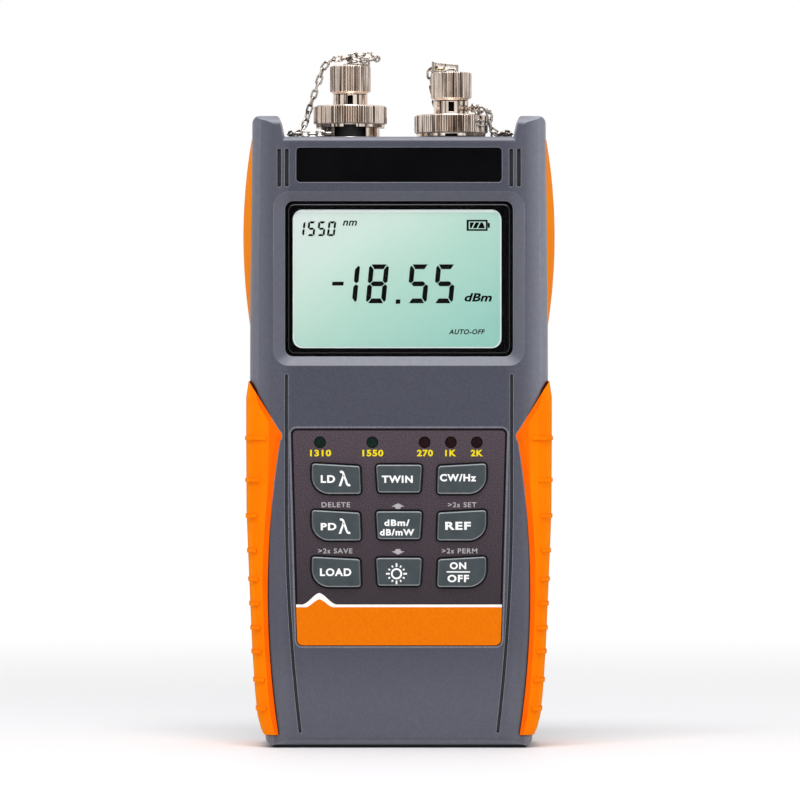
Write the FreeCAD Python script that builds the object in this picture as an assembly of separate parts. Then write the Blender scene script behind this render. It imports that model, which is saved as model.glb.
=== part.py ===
"""Handheld optical power meter with a built-in light source, in millimetres.

Frame: +X to the right of someone facing the display, +Y from the front face to the back, +Z up.
The origin is the centre of the base that the meter stands on. A two-part moulded case is clamped
round two threaded fibre ports at its top, wears a soft grip on each side, and holds the display,
the keypad, the circuit board and three cells behind a door that swings down.
"""

import FreeCAD
import Part
import math
import os

V = FreeCAD.Vector

# ---------------------------------------------------------------- driving sizes

# Case
CASE_DEPTH_FRONT = 15.6          # from the port axis to the front face
CASE_DEPTH_BACK = 16.3           # from the port axis to the back face
CASE_PROFILE = (                 # (height, half width) of the case's side
    (-2.0, 34.6), (3.0, 35.1), (14.0, 36.5), (30.0, 37.9), (52.0, 38.8),
    (80.0, 39.2), (120.0, 39.1), (168.0, 38.5),
)
BASE_HALF_WIDTH = 35.1
TOP_HALF_WIDTH = 38.6
WAIST_HALF_WIDTH = 39.2
DECK_HEIGHT = 160.3
TOWER_RISE = 5.5                 # the two guards that stand beside the ports
TOWER_INNER_X = 30.3
TOWER_TOP_INNER_X = 31.3
TOWER_OUTER_RADIUS = 2.2
TOWER_INNER_RADIUS = 1.2
BASE_CORNER = 3.0
EDGE_ROUND = 3.0                 # rounding of the case seen from the side
DECK_ROUND = 1.6                 # rounding of the deck's front and back edges
WALL = 2.4
FLAT_HALF_WIDTH = 33.0           # flat part of the front face, before its facets turn to the sides
FACET_DROP = 0.9
SIDE_ROUND = 4.0
BACK_CORNER = 8.0

# Soft grips
GRIP_DEPTH = 1.2                 # how far a grip is let into the case
GRIP_PROFILE = (                 # (height, half width) of the lower grip's outer side
    (2.4, 35.0), (5.0, 36.2), (8.4, 37.1), (15.0, 37.8), (26.0, 38.5),
    (42.0, 39.2), (62.0, 40.0), (80.0, 40.1), (92.0, 40.1), (99.0, 39.0),
)
GRIP_PROUD = 0.6                 # how far its front land stands out of the case
GRIP_BACK_PROUD = 0.2
GRIP_CREASE = 3.6                # from the outer side to the crease between its two facets
GRIP_BEVEL_WIDTH = 2.6           # the inner border slopes down to the case
GRIP_BEVEL_HEIGHT = 0.95
GRIP_BASE = 3.4
GRIP_TIP_HEIGHT = 96.6
GRIP_INNER_X = 31.6
GRIP_WAIST_X = 34.4
GRIP_SHOULDER_HEIGHT = 81.8
GRIP_SHOULDER_X = 30.6
GRIP_SHOULDER_ROUND = 1.3
GRIP_LIMIT_X = 28.0
BULGE_HALF_WIDTH = 41.2
BULGE_BOTTOM = 108.5
BULGE_TOP = 160.0
BULGE_SECTION_RADIUS = 20.5
BULGE_CENTRE_Y = -1.0
BULGE_LIMIT_X = 36.6
NECK_HALF_WIDTH = 38.8           # the hidden strap that joins the two pads of one grip
NECK_HALF_DEPTH = 6.0
RIB_HEIGHTS = (81.2, 70.2, 60.8, 51.7, 44.2, 37.8, 31.4, 25.2, 17.8, 10.2)
RIB_RISE = 0.3
RIB_WIDTH = 1.0
RIB_INNER_XS = (34.7, 36.4, 37.2, 37.4, 37.0, 36.7, 36.4, 36.1, 35.3, 34.8)

# Display
DISPLAY_CENTRE_Z = 123.0
DISPLAY_HALF_WIDTH = 29.9
DISPLAY_HEIGHT = 40.8
DISPLAY_CORNER = 2.2
DISPLAY_SLOPE = 3.0              # width of the sloping border round the window
DISPLAY_SINK = 1.3
FRAME_THICKNESS = 1.3            # thickening behind the panel that holds the display
FRAME_BORDER = 2.0
VIEW_WIDTH = 54.8
VIEW_HEIGHT = 36.4
VIEW_CORNER = 2.6
VIEW_OFFSET_X = -0.5
WINDOW_THICKNESS = 0.8
MASK_THICKNESS = 0.3
SEAT_LEDGE = 1.2
LCD_GLASS_THICKNESS = 1.5
LIGHT_GUIDE_THICKNESS = 1.2

# Name plate and sound slots
PLATE_WIDTH = 53.7
PLATE_HEIGHT = 8.9
PLATE_CENTRE_Z = 152.85
PLATE_CORNER = 1.0
PLATE_THICKNESS = 0.4
SLOT_XS = (29.4, 31.4)
SLOT_WIDTH = 1.0
SLOT_HEIGHT = 10.0
SLOT_CENTRE_Z = 152.1
SLOT_DEPTH = 1.2

# Long grooves of the front face
GROOVE_X = 29.5
GROOVE_FOOT_X = 25.9
GROOVE_TOP = 98.0
GROOVE_BEND = 62.0
GROOVE_FOOT = 3.9
GROOVE_WIDTH = 0.8
GROOVE_DEPTH = 0.7

# Keypad
OVERLAY_TOP = 83.7
OVERLAY_FOOT = 26.8
OVERLAY_TOP_HALF_WIDTH = 28.3
OVERLAY_FOOT_HALF_WIDTH = 26.8
OVERLAY_CORNER = 1.5
OVERLAY_THICKNESS = 0.35
KEY_CENTRE_Z = 58.4
KEY_PITCH_X = 16.4
KEY_PITCH_Z = 12.2
KEY_WIDTH = 12.9
KEY_HEIGHT = 8.0
KEY_CORNER = 0.8
KEY_SWEEP_CORNER = 4.6
KEY_SLANT = 0.7
KEY_TAPER = 0.5
KEY_RISE = 0.9                   # key top above the front face
KEY_TRAVEL = 0.8
KEY_GAP = 0.45
KEY_FLANGE = 0.9
KEY_FLANGE_THICKNESS = 0.8
KEY_EDGE = 0.45
MAT_THICKNESS = 0.9
MAT_MARGIN = 3.0
PLUNGER_RADIUS = 2.0
CONTACT_THICKNESS = 0.3

# Indicator lamps
LED_XS = (-20.7, -7.0, 6.7, 13.6, 20.4)
LED_NAMES = ("led_1310", "led_1550", "led_270", "led_1k", "led_2k")
LED_CENTRE_Z = 80.1
LED_RADIUS = 1.45
LED_SINK = 0.25
LED_FLANGE = 0.35
LED_FLANGE_THICKNESS = 0.8

# Circuit board
BOARD_HALF_WIDTH = 29.6
BOARD_FOOT = 24.0
BOARD_TOP = 147.0
BOARD_FRONT_Y = -9.6
BOARD_THICKNESS = 1.6
BOARD_SCREW_X = 27.0
BOARD_SCREW_ZS = (29.0, 97.0)
BOARD_HOLE_RADIUS = 1.2
BOARD_POST_RADIUS = 2.3

# Cells and their bay
CELL_RADIUS = 7.1
CELL_LENGTH = 49.4
CELL_NUB_RADIUS = 2.7
CELL_NUB_LENGTH = 1.1
CELL_PITCH = 15.0
CELL_Y = 4.9
BAY_FLOOR_Z = 10.0
BAY_WALL = 1.0
CONTACT_ROOM = 2.6
CONTACT_STRIP = 0.4
CONTACT_WIDTH = 6.0
CELL_SLACK = 0.3

# Battery door
DOOR_THICKNESS = 2.2
DOOR_GAP = 0.25
DOOR_OVERHANG = 1.6
DOOR_HINGE_RADIUS = 1.3
DOOR_PIN_RADIUS = 0.8
DOOR_PIN_LENGTH = 1.2
DOOR_SNAP = 0.2
DOOR_CORNER = 2.0
DOOR_LEDGE = 1.4
DOOR_TONGUE_WIDTH = 14.0
DOOR_TONGUE_HEIGHT = 9.0
DOOR_TONGUE_SLIT = 0.8
DOOR_GRIP_GROOVES = 4
DOOR_GRIP_PITCH = 1.6

# Case screws
SCREW_X = 28.2
SCREW_FOOT_Z = 14.0
SCREW_TOP_X = 31.4
SCREW_TOP_Z = 149.6
SCREW_SHANK_RADIUS = 1.2
SCREW_HEAD_RADIUS = 2.3
SCREW_HEAD_HEIGHT = 1.6
SCREW_HEAD_SINK = 6.0
SCREW_DRIVE_RADIUS = 1.0
BOSS_RADIUS = 3.2
BOSS_BORE = 1.25

# Fibre ports
PORT_XS = {"left": -12.9, "right": 13.8}
PORT_LIFTS = {"left": 2.4, "right": 0.0}
PORT_SEAT = 0.5                  # from the deck to the foot of the lower coupling ring
RING_LIP_HEIGHT = 0.8
RING_LIP_RADIUS = 9.2
RING_HEIGHT = 5.0
RING_RADIUS = 9.7
RING_TEETH = 90
RING_TOOTH = 0.35
RING_CHAMFER = 0.45
RING_TOP_WALL = 1.2
SLIP_THICKNESS = 0.3             # thin washer that the ring turns on
SLIP_GAP = 0.02
RING_SLOT_WIDTH = 3.3
RING_SLOT_HEIGHT = 0.6
BASE_NECK_RADIUS = 7.9
BASE_THREAD_RADIUS = 8.15
BASE_THREAD_HEIGHT = 3.0
BASE_STEM_RADIUS = 6.4
BASE_WINDOW_WIDTH = 8.4
THREAD_CLEARANCE = 0.05
CORE_RADIUS = 5.4
CORE_FIT = 0.1
NUT_FLATS = 16.0
NUT_HEIGHT = 2.4
ADAPTER_FLANGE_RADIUS = 7.6
ADAPTER_FLANGE_HEIGHT = 1.3
ADAPTER_NECK_RADIUS = 4.65
NECK_HEIGHTS = {"left": 3.1, "right": 3.8}   # how far down each cap is screwed
ADAPTER_BARREL_RADIUS = 4.0
ADAPTER_BARREL_HEIGHT = 5.6
ADAPTER_BORE_RADIUS = 2.9
SLEEVE_RADIUS = 1.75
FERRULE_RADIUS = 1.26
KEYWAY_WIDTH = 1.5
KEYWAY_HEIGHT = 2.6
CAP_RADIUS = 5.4
CAP_HEIGHT = 7.45
CAP_TEETH = 50
CAP_TOOTH = 0.3
CAP_CHAMFER = 0.8
CAP_TOP_CHAMFER = 0.3
CAP_ROOF = 1.2

# Swivel tab on each cap and the chains
TAB_THICKNESS = 0.5
TAB_HALF_WIDTH = 1.4
TAB_GAP = 0.12
RIVET_RADIUS = 0.9
RIVET_HEAD_RADIUS = 1.3
RIVET_HEAD_HEIGHT = 0.35
COLLAR_WIRE = 0.35
COLLAR_GAP = 0.3
LINK_PITCH = 2.0
LINK_LENGTH = 3.1
LINK_WIDTH = 1.85
LINK_WIRE = 0.52

SEAT_GAP = 0.1                   # clearance of parts that are dropped into place
OVERCUT = 0.03                   # how far trimming outlines pass a face, so that none coincide
FAR = 200.0                      # larger than the case, for cutting tools

# ---------------------------------------------------------------- worked out from the driving sizes

FRONT_Y = -CASE_DEPTH_FRONT
BACK_Y = CASE_DEPTH_BACK
INNER_FRONT_Y = FRONT_Y + WALL
INNER_BACK_Y = BACK_Y - WALL
DECK_UNDERSIDE = DECK_HEIGHT - WALL
DISPLAY_FOOT = DISPLAY_CENTRE_Z - DISPLAY_HEIGHT / 2
WINDOW_FRONT_Y = FRONT_Y + DISPLAY_SINK
WINDOW_BACK_Y = WINDOW_FRONT_Y + WINDOW_THICKNESS
LCD_FRONT_Y = WINDOW_BACK_Y + MASK_THICKNESS
LCD_BACK_Y = LCD_FRONT_Y + LCD_GLASS_THICKNESS
LIGHT_GUIDE_BACK_Y = LCD_BACK_Y + LIGHT_GUIDE_THICKNESS
OVERLAY_BACK_Y = FRONT_Y + OVERLAY_THICKNESS
KEY_TOP_Y = FRONT_Y - KEY_RISE
KEY_FLANGE_FRONT_Y = INNER_FRONT_Y + SEAT_GAP
KEY_FLANGE_BACK_Y = KEY_FLANGE_FRONT_Y + KEY_FLANGE_THICKNESS
CONTACT_FRONT_Y = BOARD_FRONT_Y - CONTACT_THICKNESS
PLUNGER_END_Y = CONTACT_FRONT_Y - KEY_TRAVEL - SEAT_GAP / 2
BOARD_BACK_Y = BOARD_FRONT_Y + BOARD_THICKNESS
CELL_TOTAL = CELL_LENGTH + CELL_NUB_LENGTH
BAY_ROOM = CELL_TOTAL + 2 * CONTACT_ROOM
BAY_CEILING_Z = BAY_FLOOR_Z + BAY_ROOM
BAY_HALF_WIDTH = CELL_PITCH + CELL_RADIUS + CELL_SLACK
BAY_FRONT_Y = CELL_Y - CELL_RADIUS
CELL_FOOT_Z = BAY_FLOOR_Z + CONTACT_ROOM
DOOR_INNER_Y = BACK_Y - DOOR_THICKNESS
DOOR_HALF_WIDTH = BAY_HALF_WIDTH + DOOR_LEDGE
DOOR_FOOT_Z = BAY_FLOOR_Z - DOOR_LEDGE
DOOR_TOP_Z = BAY_CEILING_Z + DOOR_LEDGE
HINGE_Y = BACK_Y - DOOR_HINGE_RADIUS
HINGE_Z = DOOR_FOOT_Z + DOOR_HINGE_RADIUS


# ---------------------------------------------------------------- outlines and solids

def face_of(edges):
    """A flat face inside a closed run of edges given in any order."""
    return Part.Face(Part.Wire(Part.__sortEdges__(edges)))


def path(start, steps, place):
    """Edges from start through steps. A step is an end point, or (a point on the arc, end point)."""
    edges = []
    here = start
    for step in steps:
        if isinstance(step[0], tuple):
            through, end = step
            edges.append(Part.Arc(place(here), place(through), place(end)).toShape())
        else:
            end = step
            edges.append(Part.LineSegment(place(here), place(end)).toShape())
        here = end
    return edges


def on_front(p):
    return V(p[0], 0, p[1])


def on_plan(p):
    return V(p[0], p[1], 0)


def on_side(p):
    return V(0, p[0], p[1])


def symmetric_face(start, steps, place):
    """The face whose right half is the path; the left half is its mirror image."""
    right = path(start, steps, place)
    left = [edge.mirror(V(0, 0, 0), V(1, 0, 0)) for edge in right]
    return face_of(right + left)


def closed_face(start, steps, place):
    return face_of(path(start, list(steps) + [start], place))


def rounded_face(corners, radii, place):
    """A polygon with each corner rounded to its own radius."""
    count = len(corners)
    if not isinstance(radii, (list, tuple)):
        radii = [radii] * count
    trims = []
    for i in range(count):
        before, corner, after = corners[i - 1], corners[i], corners[(i + 1) % count]
        to_before = V(before[0] - corner[0], before[1] - corner[1], 0).normalize()
        to_after = V(after[0] - corner[0], after[1] - corner[1], 0).normalize()
        half = to_before.getAngle(to_after) / 2
        reach = radii[i] / math.tan(half)
        bisector = (to_before + to_after).normalize()
        depth = radii[i] / math.sin(half) - radii[i]
        enter = (corner[0] + to_before.x * reach, corner[1] + to_before.y * reach)
        leave = (corner[0] + to_after.x * reach, corner[1] + to_after.y * reach)
        crest = (corner[0] + bisector.x * depth, corner[1] + bisector.y * depth)
        trims.append((enter, crest, leave))
    steps = []
    for enter, crest, leave in trims:
        steps.append(enter)
        steps.append((crest, leave))
    return face_of(path(trims[-1][2], steps, place))


def rectangle(half_width, low, high, centre=0.0):
    """Corners of a rectangle about a vertical centre line."""
    return [
        (centre - half_width, low),
        (centre + half_width, low),
        (centre + half_width, high),
        (centre - half_width, high),
    ]


def along_y(face, near, far):
    solid = face.extrude(V(0, far - near, 0))
    solid.translate(V(0, near, 0))
    return solid


def along_z(face, low, high):
    solid = face.extrude(V(0, 0, high - low))
    solid.translate(V(0, 0, low))
    return solid


def along_x(face, left, right):
    solid = face.extrude(V(right - left, 0, 0))
    solid.translate(V(left, 0, 0))
    return solid


def block(x0, x1, y0, y1, z0, z1):
    return Part.makeBox(x1 - x0, y1 - y0, z1 - z0, V(x0, y0, z0))


def upright(radius, low, high, x, y=0.0):
    """A cylinder along Z."""
    return Part.makeCylinder(radius, high - low, V(x, y, low), V(0, 0, 1))


def level(radius, near, far, x, z):
    """A cylinder along Y."""
    return Part.makeCylinder(radius, far - near, V(x, near, z), V(0, 1, 0))


def turned(profile, x):
    """The solid that an outline of (radius, height) points sweeps round an upright axis at x."""
    face = face_of(path(profile[0], profile[1:] + [profile[0]], on_front))
    solid = face.revolve(V(0, 0, 0), V(0, 0, 1), 360)
    solid.translate(V(x, 0, 0))
    return solid


def mirrored(solid):
    return solid.mirror(V(0, 0, 0), V(1, 0, 0))


def joined(solids):
    return solids[0].fuse(solids[1:]).removeSplitter()


def inset(face, amount):
    return face.makeOffset2D(-amount) if amount else face


# ---------------------------------------------------------------- form of the case

def case_front_view():
    """What the front view trims away: the rounded base corners, the deck and the two guards."""
    tower_top = DECK_HEIGHT + TOWER_RISE
    slant = 1 - math.sqrt(0.5)
    wide = WAIST_HALF_WIDTH + 6
    return symmetric_face(
        (0, 0),
        [
            (BASE_HALF_WIDTH - BASE_CORNER, 0),
            (
                (BASE_HALF_WIDTH - BASE_CORNER * slant, BASE_CORNER * slant),
                (BASE_HALF_WIDTH + 0.05, BASE_CORNER),
            ),
            (wide, BASE_CORNER + 6),
            (wide, tower_top - TOWER_OUTER_RADIUS - 3),
            (TOP_HALF_WIDTH, tower_top - TOWER_OUTER_RADIUS),
            (
                (TOP_HALF_WIDTH - TOWER_OUTER_RADIUS * slant, tower_top - TOWER_OUTER_RADIUS * slant),
                (TOP_HALF_WIDTH - TOWER_OUTER_RADIUS, tower_top),
            ),
            (TOWER_TOP_INNER_X + TOWER_INNER_RADIUS, tower_top),
            (
                (
                    TOWER_TOP_INNER_X + TOWER_INNER_RADIUS * slant * 0.8,
                    tower_top - TOWER_INNER_RADIUS * slant,
                ),
                (TOWER_TOP_INNER_X - 0.1, tower_top - TOWER_INNER_RADIUS),
            ),
            (TOWER_INNER_X, DECK_HEIGHT),
            (0, DECK_HEIGHT),
        ],
        on_front,
    )


def case_section(height, half_width, depth):
    """Section seen from above: a flat front, a facet each side that turns away, a rounded back."""
    w = half_width - depth
    front, back = FRONT_Y + depth - OVERCUT, BACK_Y - depth + OVERCUT
    flat = FLAT_HALF_WIDTH - (WAIST_HALF_WIDTH - half_width) - depth * 0.3
    facet_x = w - SIDE_ROUND * 0.55
    slant = 1 - math.sqrt(0.5)
    right = path(
        (0, front),
        [
            (flat, front),
            (facet_x, front + FACET_DROP),
            (
                (w - SIDE_ROUND * 0.17, front + FACET_DROP + SIDE_ROUND * 0.36),
                (w, front + FACET_DROP + SIDE_ROUND),
            ),
            (w, back - BACK_CORNER),
            ((w - BACK_CORNER * slant, back - BACK_CORNER * slant), (w - BACK_CORNER, back)),
            (0, back),
        ],
        on_plan,
    )
    left = [edge.mirror(V(0, 0, 0), V(1, 0, 0)) for edge in right]
    wire = Part.Wire(Part.__sortEdges__(right + left))
    wire.translate(V(0, 0, height))
    return wire


def case_side_view():
    """Outline seen from the side, with every edge rounded. It trims the front and back flat."""
    top = DECK_HEIGHT + TOWER_RISE
    corners = [(FRONT_Y, 0), (BACK_Y, 0), (BACK_Y, top), (FRONT_Y, top)]
    return rounded_face(corners, EDGE_ROUND, on_side)


def deck_edge_cutter(edge_y, way):
    """Takes the square edge off the deck, between the two guards."""
    r = DECK_ROUND
    slant = 1 - math.sqrt(0.5)
    outline = closed_face(
        (edge_y - way, DECK_HEIGHT - r),
        [
            (edge_y, DECK_HEIGHT - r),
            ((edge_y + way * r * slant, DECK_HEIGHT - r * slant), (edge_y + way * r, DECK_HEIGHT)),
            (edge_y + way * r, DECK_HEIGHT + 1),
            (edge_y - way, DECK_HEIGHT + 1),
        ],
        on_side,
    )
    return along_x(outline, -TOWER_INNER_X - 0.1, TOWER_INNER_X + 0.1)


def case_form(depth=0.0):
    """The case as a full body, taken in by depth on every side."""
    form = Part.makeLoft([case_section(z, w, depth) for z, w in CASE_PROFILE], True, True)
    front = along_y(inset(case_front_view(), depth), -FAR / 2, FAR / 2)
    side = along_x(inset(case_side_view(), depth), -FAR / 2, FAR / 2)
    form = form.common(front).common(side)
    if depth:
        return form
    return form.cut([deck_edge_cutter(FRONT_Y, 1), deck_edge_cutter(BACK_Y, -1)])


# ---------------------------------------------------------------- grips

def grip_section(height, half_width, rise):
    """The lower grip's section: a front land, a crease, a facet that turns away, a round side."""
    w = half_width + rise
    front, back = FRONT_Y - GRIP_PROUD - rise, BACK_Y + GRIP_BACK_PROUD
    slant = 1 - math.sqrt(0.5)
    points = path(
        (GRIP_LIMIT_X - 4, front),
        [
            (w - GRIP_CREASE, front + 0.1),
            (w - GRIP_CREASE * 0.38, front + 1.1),
            ((w - 0.4, front + 2.4), (w, front + 5.2)),
            (w, back - BACK_CORNER),
            ((w - BACK_CORNER * slant, back - BACK_CORNER * slant), (w - BACK_CORNER, back)),
            (GRIP_LIMIT_X - 4, back),
            (GRIP_LIMIT_X - 4, front),
        ],
        on_plan,
    )
    wire = Part.Wire(points)
    wire.translate(V(0, 0, height))
    return wire


def grip_body(rise=0.0):
    return Part.makeLoft([grip_section(z, w, rise) for z, w in GRIP_PROFILE], True, True)


def grip_outline(set_in=0.0):
    """Where the lower grip shows from the front; set_in moves its inner edge outwards."""
    shoulder, turn = GRIP_SHOULDER_HEIGHT, GRIP_SHOULDER_ROUND
    inner, corner = GRIP_INNER_X + set_in, GRIP_SHOULDER_X + set_in
    return closed_face(
        (inner, GRIP_BASE),
        [
            (
                (GRIP_WAIST_X + set_in, (GRIP_BASE + shoulder) * 0.46),
                (corner + turn * 0.4, shoulder - turn),
            ),
            ((corner, shoulder), (corner + turn * 0.5, shoulder + turn)),
            (WAIST_HALF_WIDTH + 0.5 + set_in, GRIP_TIP_HEIGHT),
            (WAIST_HALF_WIDTH + 6, GRIP_TIP_HEIGHT),
            (WAIST_HALF_WIDTH + 6, GRIP_BASE),
        ],
        on_front,
    )


def grip_zone():
    """Trims the lower grip: straight where it is let in, sloping where it stands out of the case."""
    edge_y = FRONT_Y + OVERCUT
    straight = along_y(grip_outline(), edge_y, FAR / 2)
    foot, crest = grip_outline().OuterWire, grip_outline(GRIP_BEVEL_WIDTH).OuterWire
    foot.translate(V(0, edge_y, 0))
    crest.translate(V(0, FRONT_Y - GRIP_BEVEL_HEIGHT, 0))
    return straight.fuse(Part.makeLoft([foot, crest], True, True))


def grip_bulge():
    """The upper pad: a barrel standing proud of the case side, with feathered edges."""
    axis_x = BULGE_HALF_WIDTH - BULGE_SECTION_RADIUS
    end_radius = WAIST_HALF_WIDTH - 0.2 - axis_x
    middle = (BULGE_BOTTOM + BULGE_TOP) / 2
    barrel = turned(
        [
            (0, BULGE_BOTTOM),
            (end_radius, BULGE_BOTTOM),
            ((BULGE_SECTION_RADIUS, middle), (end_radius, BULGE_TOP)),
            (0, BULGE_TOP),
        ],
        axis_x,
    )
    barrel.translate(V(0, BULGE_CENTRE_Y, 0))
    return barrel.common(block(BULGE_LIMIT_X, FAR, -FAR, FAR, 0, FAR))


def grip_ribs():
    """Thin finger ribs round the grip's side; the top one reaches further in than the rest."""
    slabs = [
        block(
            inner_x, FAR,
            -FAR, BACK_Y - 2.5,
            height - RIB_WIDTH / 2, height + RIB_WIDTH / 2,
        )
        for inner_x, height in zip(RIB_INNER_XS, RIB_HEIGHTS)
    ]
    return grip_body(RIB_RISE).common(Part.Compound(slabs))


def right_grip():
    lower = grip_body().fuse(grip_ribs()).common(grip_zone())
    neck = block(
        BULGE_LIMIT_X, NECK_HALF_WIDTH,
        -NECK_HALF_DEPTH, NECK_HALF_DEPTH,
        GRIP_TIP_HEIGHT - 6, BULGE_BOTTOM + 8,
    )
    return lower.fuse([neck, grip_bulge()]).cut(case_form(GRIP_DEPTH))


# ---------------------------------------------------------------- case shells

def display_opening():
    """Sloping border, pocket for the window and straight opening behind it."""
    low, high = DISPLAY_FOOT, DISPLAY_FOOT + DISPLAY_HEIGHT
    slope = DISPLAY_SLOPE
    outer = rounded_face(
        rectangle(DISPLAY_HALF_WIDTH + slope, low - slope * 0.8, high + slope * 0.8),
        DISPLAY_CORNER + slope * 0.6,
        on_front,
    ).OuterWire
    inner = rounded_face(
        rectangle(DISPLAY_HALF_WIDTH, low, high), DISPLAY_CORNER, on_front
    ).OuterWire
    outer.translate(V(0, FRONT_Y, 0))
    inner.translate(V(0, WINDOW_FRONT_Y, 0))
    border = Part.makeLoft([outer, inner], True, True)
    pocket = along_y(
        rounded_face(rectangle(DISPLAY_HALF_WIDTH, low, high), DISPLAY_CORNER, on_front),
        WINDOW_FRONT_Y - 0.01,
        WINDOW_BACK_Y + MASK_THICKNESS,
    )
    ledge = SEAT_LEDGE
    through = along_y(
        rounded_face(
            rectangle(DISPLAY_HALF_WIDTH - ledge, low + ledge, high - ledge),
            SEAT_GAP,
            on_front,
        ),
        WINDOW_FRONT_Y,
        INNER_FRONT_Y + FRAME_THICKNESS + 1,
    )
    return [border, pocket, through]


def groove_cutter():
    """The long groove right of the middle panel, straight above and bending in below."""
    half = GROOVE_WIDTH / 2
    bend_x = GROOVE_X - (GROOVE_X - GROOVE_FOOT_X) * 0.3
    bend_z = GROOVE_FOOT + (GROOVE_BEND - GROOVE_FOOT) * 0.48
    outline = closed_face(
        (GROOVE_X - half, GROOVE_TOP - half),
        [
            ((GROOVE_X, GROOVE_TOP), (GROOVE_X + half, GROOVE_TOP - half)),
            (GROOVE_X + half, GROOVE_BEND),
            ((bend_x + half, bend_z), (GROOVE_FOOT_X + half, GROOVE_FOOT + half)),
            ((GROOVE_FOOT_X, GROOVE_FOOT), (GROOVE_FOOT_X - half, GROOVE_FOOT + half)),
            ((bend_x - half, bend_z), (GROOVE_X - half, GROOVE_BEND)),
        ],
        on_front,
    )
    return along_y(outline, FRONT_Y - 1, FRONT_Y + GROOVE_DEPTH)


def sound_slots():
    cutters = []
    low = SLOT_CENTRE_Z - SLOT_HEIGHT / 2
    for x in SLOT_XS:
        for side in (-1, 1):
            face = rounded_face(
                rectangle(SLOT_WIDTH / 2, low, low + SLOT_HEIGHT, side * x), SLOT_WIDTH * 0.3, on_front
            )
            cutters.append(along_y(face, FRONT_Y - 1, FRONT_Y + SLOT_DEPTH))
    return cutters


def overlay_face(grow=0.0):
    top, foot = OVERLAY_TOP_HALF_WIDTH + grow, OVERLAY_FOOT_HALF_WIDTH + grow
    corners = [
        (-foot, OVERLAY_FOOT - grow),
        (foot, OVERLAY_FOOT - grow),
        (top, OVERLAY_TOP + grow),
        (-top, OVERLAY_TOP + grow),
    ]
    return rounded_face(corners, OVERLAY_CORNER, on_front)


def plate_face(grow=0.0):
    low = PLATE_CENTRE_Z - PLATE_HEIGHT / 2 - grow
    high = PLATE_CENTRE_Z + PLATE_HEIGHT / 2 + grow
    return rounded_face(rectangle(PLATE_WIDTH / 2 + grow, low, high), PLATE_CORNER, on_front)


def key_face(column, row, grow=0.0):
    """A key's outline: the outer columns are swept at one lower corner, the middle one tapers."""
    x = column * KEY_PITCH_X
    z = KEY_CENTRE_Z - row * KEY_PITCH_Z
    half_w = KEY_WIDTH / 2 + grow
    half_h = KEY_HEIGHT / 2 + grow
    if column == 0:
        inner_h = half_h - KEY_SLANT / 2
        corners = [
            (x - half_w + KEY_TAPER + 0.4, z - inner_h),
            (x + half_w - KEY_TAPER - 0.4, z - inner_h),
            (x + half_w - 0.4, z + inner_h),
            (x - half_w + 0.4, z + inner_h),
        ]
        radii = [KEY_CORNER + grow] * 4
    else:
        corners = [
            (x + column * half_w, z - half_h),
            (x + column * half_w, z + half_h),
            (x - column * (half_w - 0.3), z + half_h - KEY_SLANT),
            (x - column * half_w, z - half_h),
        ]
        radii = [KEY_SWEEP_CORNER + grow] + [KEY_CORNER + grow] * 3
    return rounded_face(corners, radii, on_front)


def screw_spots():
    return [
        (side * x, z)
        for x, z in ((SCREW_X, SCREW_FOOT_Z), (SCREW_TOP_X, SCREW_TOP_Z))
        for side in (-1, 1)
    ]


def board_screw_spots():
    return [(side * BOARD_SCREW_X, z) for z in BOARD_SCREW_ZS for side in (-1, 1)]


def port_stem_holes():
    return [
        upright(BASE_STEM_RADIUS + SEAT_GAP, DECK_UNDERSIDE - 1, DECK_HEIGHT + 1, PORT_XS[side])
        for side in PORT_XS
    ]


def display_frame():
    """Thickening behind the panel, so that the window and the glass are held all round."""
    half = DISPLAY_HALF_WIDTH + FRAME_BORDER
    low = DISPLAY_FOOT - FRAME_BORDER
    high = DISPLAY_FOOT + DISPLAY_HEIGHT + FRAME_BORDER
    return block(-half, half, INNER_FRONT_Y - 0.5, INNER_FRONT_Y + FRAME_THICKNESS, low, high)


def front_shell(grips):
    shell = case_form().cut(case_form(WALL))
    shell = shell.common(block(-FAR, FAR, -FAR, 0, -1, FAR))
    posts = [level(BOSS_RADIUS, INNER_FRONT_Y - 0.5, 0, x, z) for x, z in screw_spots()]
    posts += [
        level(BOARD_POST_RADIUS, INNER_FRONT_Y - 0.5, BOARD_FRONT_Y, x, z)
        for x, z in board_screw_spots()
    ]
    body = case_form(WALL / 2)
    shell = shell.fuse([post.common(body) for post in posts] + [display_frame()])
    cutters = display_opening() + sound_slots() + port_stem_holes() + list(grips)
    cutters += [groove_cutter(), mirrored(groove_cutter())]
    cutters.append(along_y(plate_face(SEAT_GAP), FRONT_Y - 1, FRONT_Y + PLATE_THICKNESS))
    cutters.append(along_y(overlay_face(SEAT_GAP), FRONT_Y - 1, OVERLAY_BACK_Y))
    cutters += [
        along_y(key_face(column, row, KEY_GAP), FRONT_Y - 1, INNER_FRONT_Y + 1)
        for column in (-1, 0, 1)
        for row in (-1, 0, 1)
    ]
    cutters += [
        level(LED_RADIUS + SEAT_GAP, FRONT_Y - 1, INNER_FRONT_Y + 1, x, LED_CENTRE_Z) for x in LED_XS
    ]
    cutters += [level(BOSS_BORE, INNER_FRONT_Y + 1.5, 1, x, z) for x, z in screw_spots()]
    cutters += [
        level(BOARD_HOLE_RADIUS, INNER_FRONT_Y + 0.6, BOARD_FRONT_Y + 1, x, z)
        for x, z in board_screw_spots()
    ]
    return shell.cut(cutters)


def bay_box(grow, near):
    """The battery bay's room, grown outwards, from near to the back of the case."""
    return block(
        -BAY_HALF_WIDTH - grow, BAY_HALF_WIDTH + grow,
        near, FAR / 2,
        BAY_FLOOR_Z - grow, BAY_CEILING_Z + grow,
    )


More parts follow.
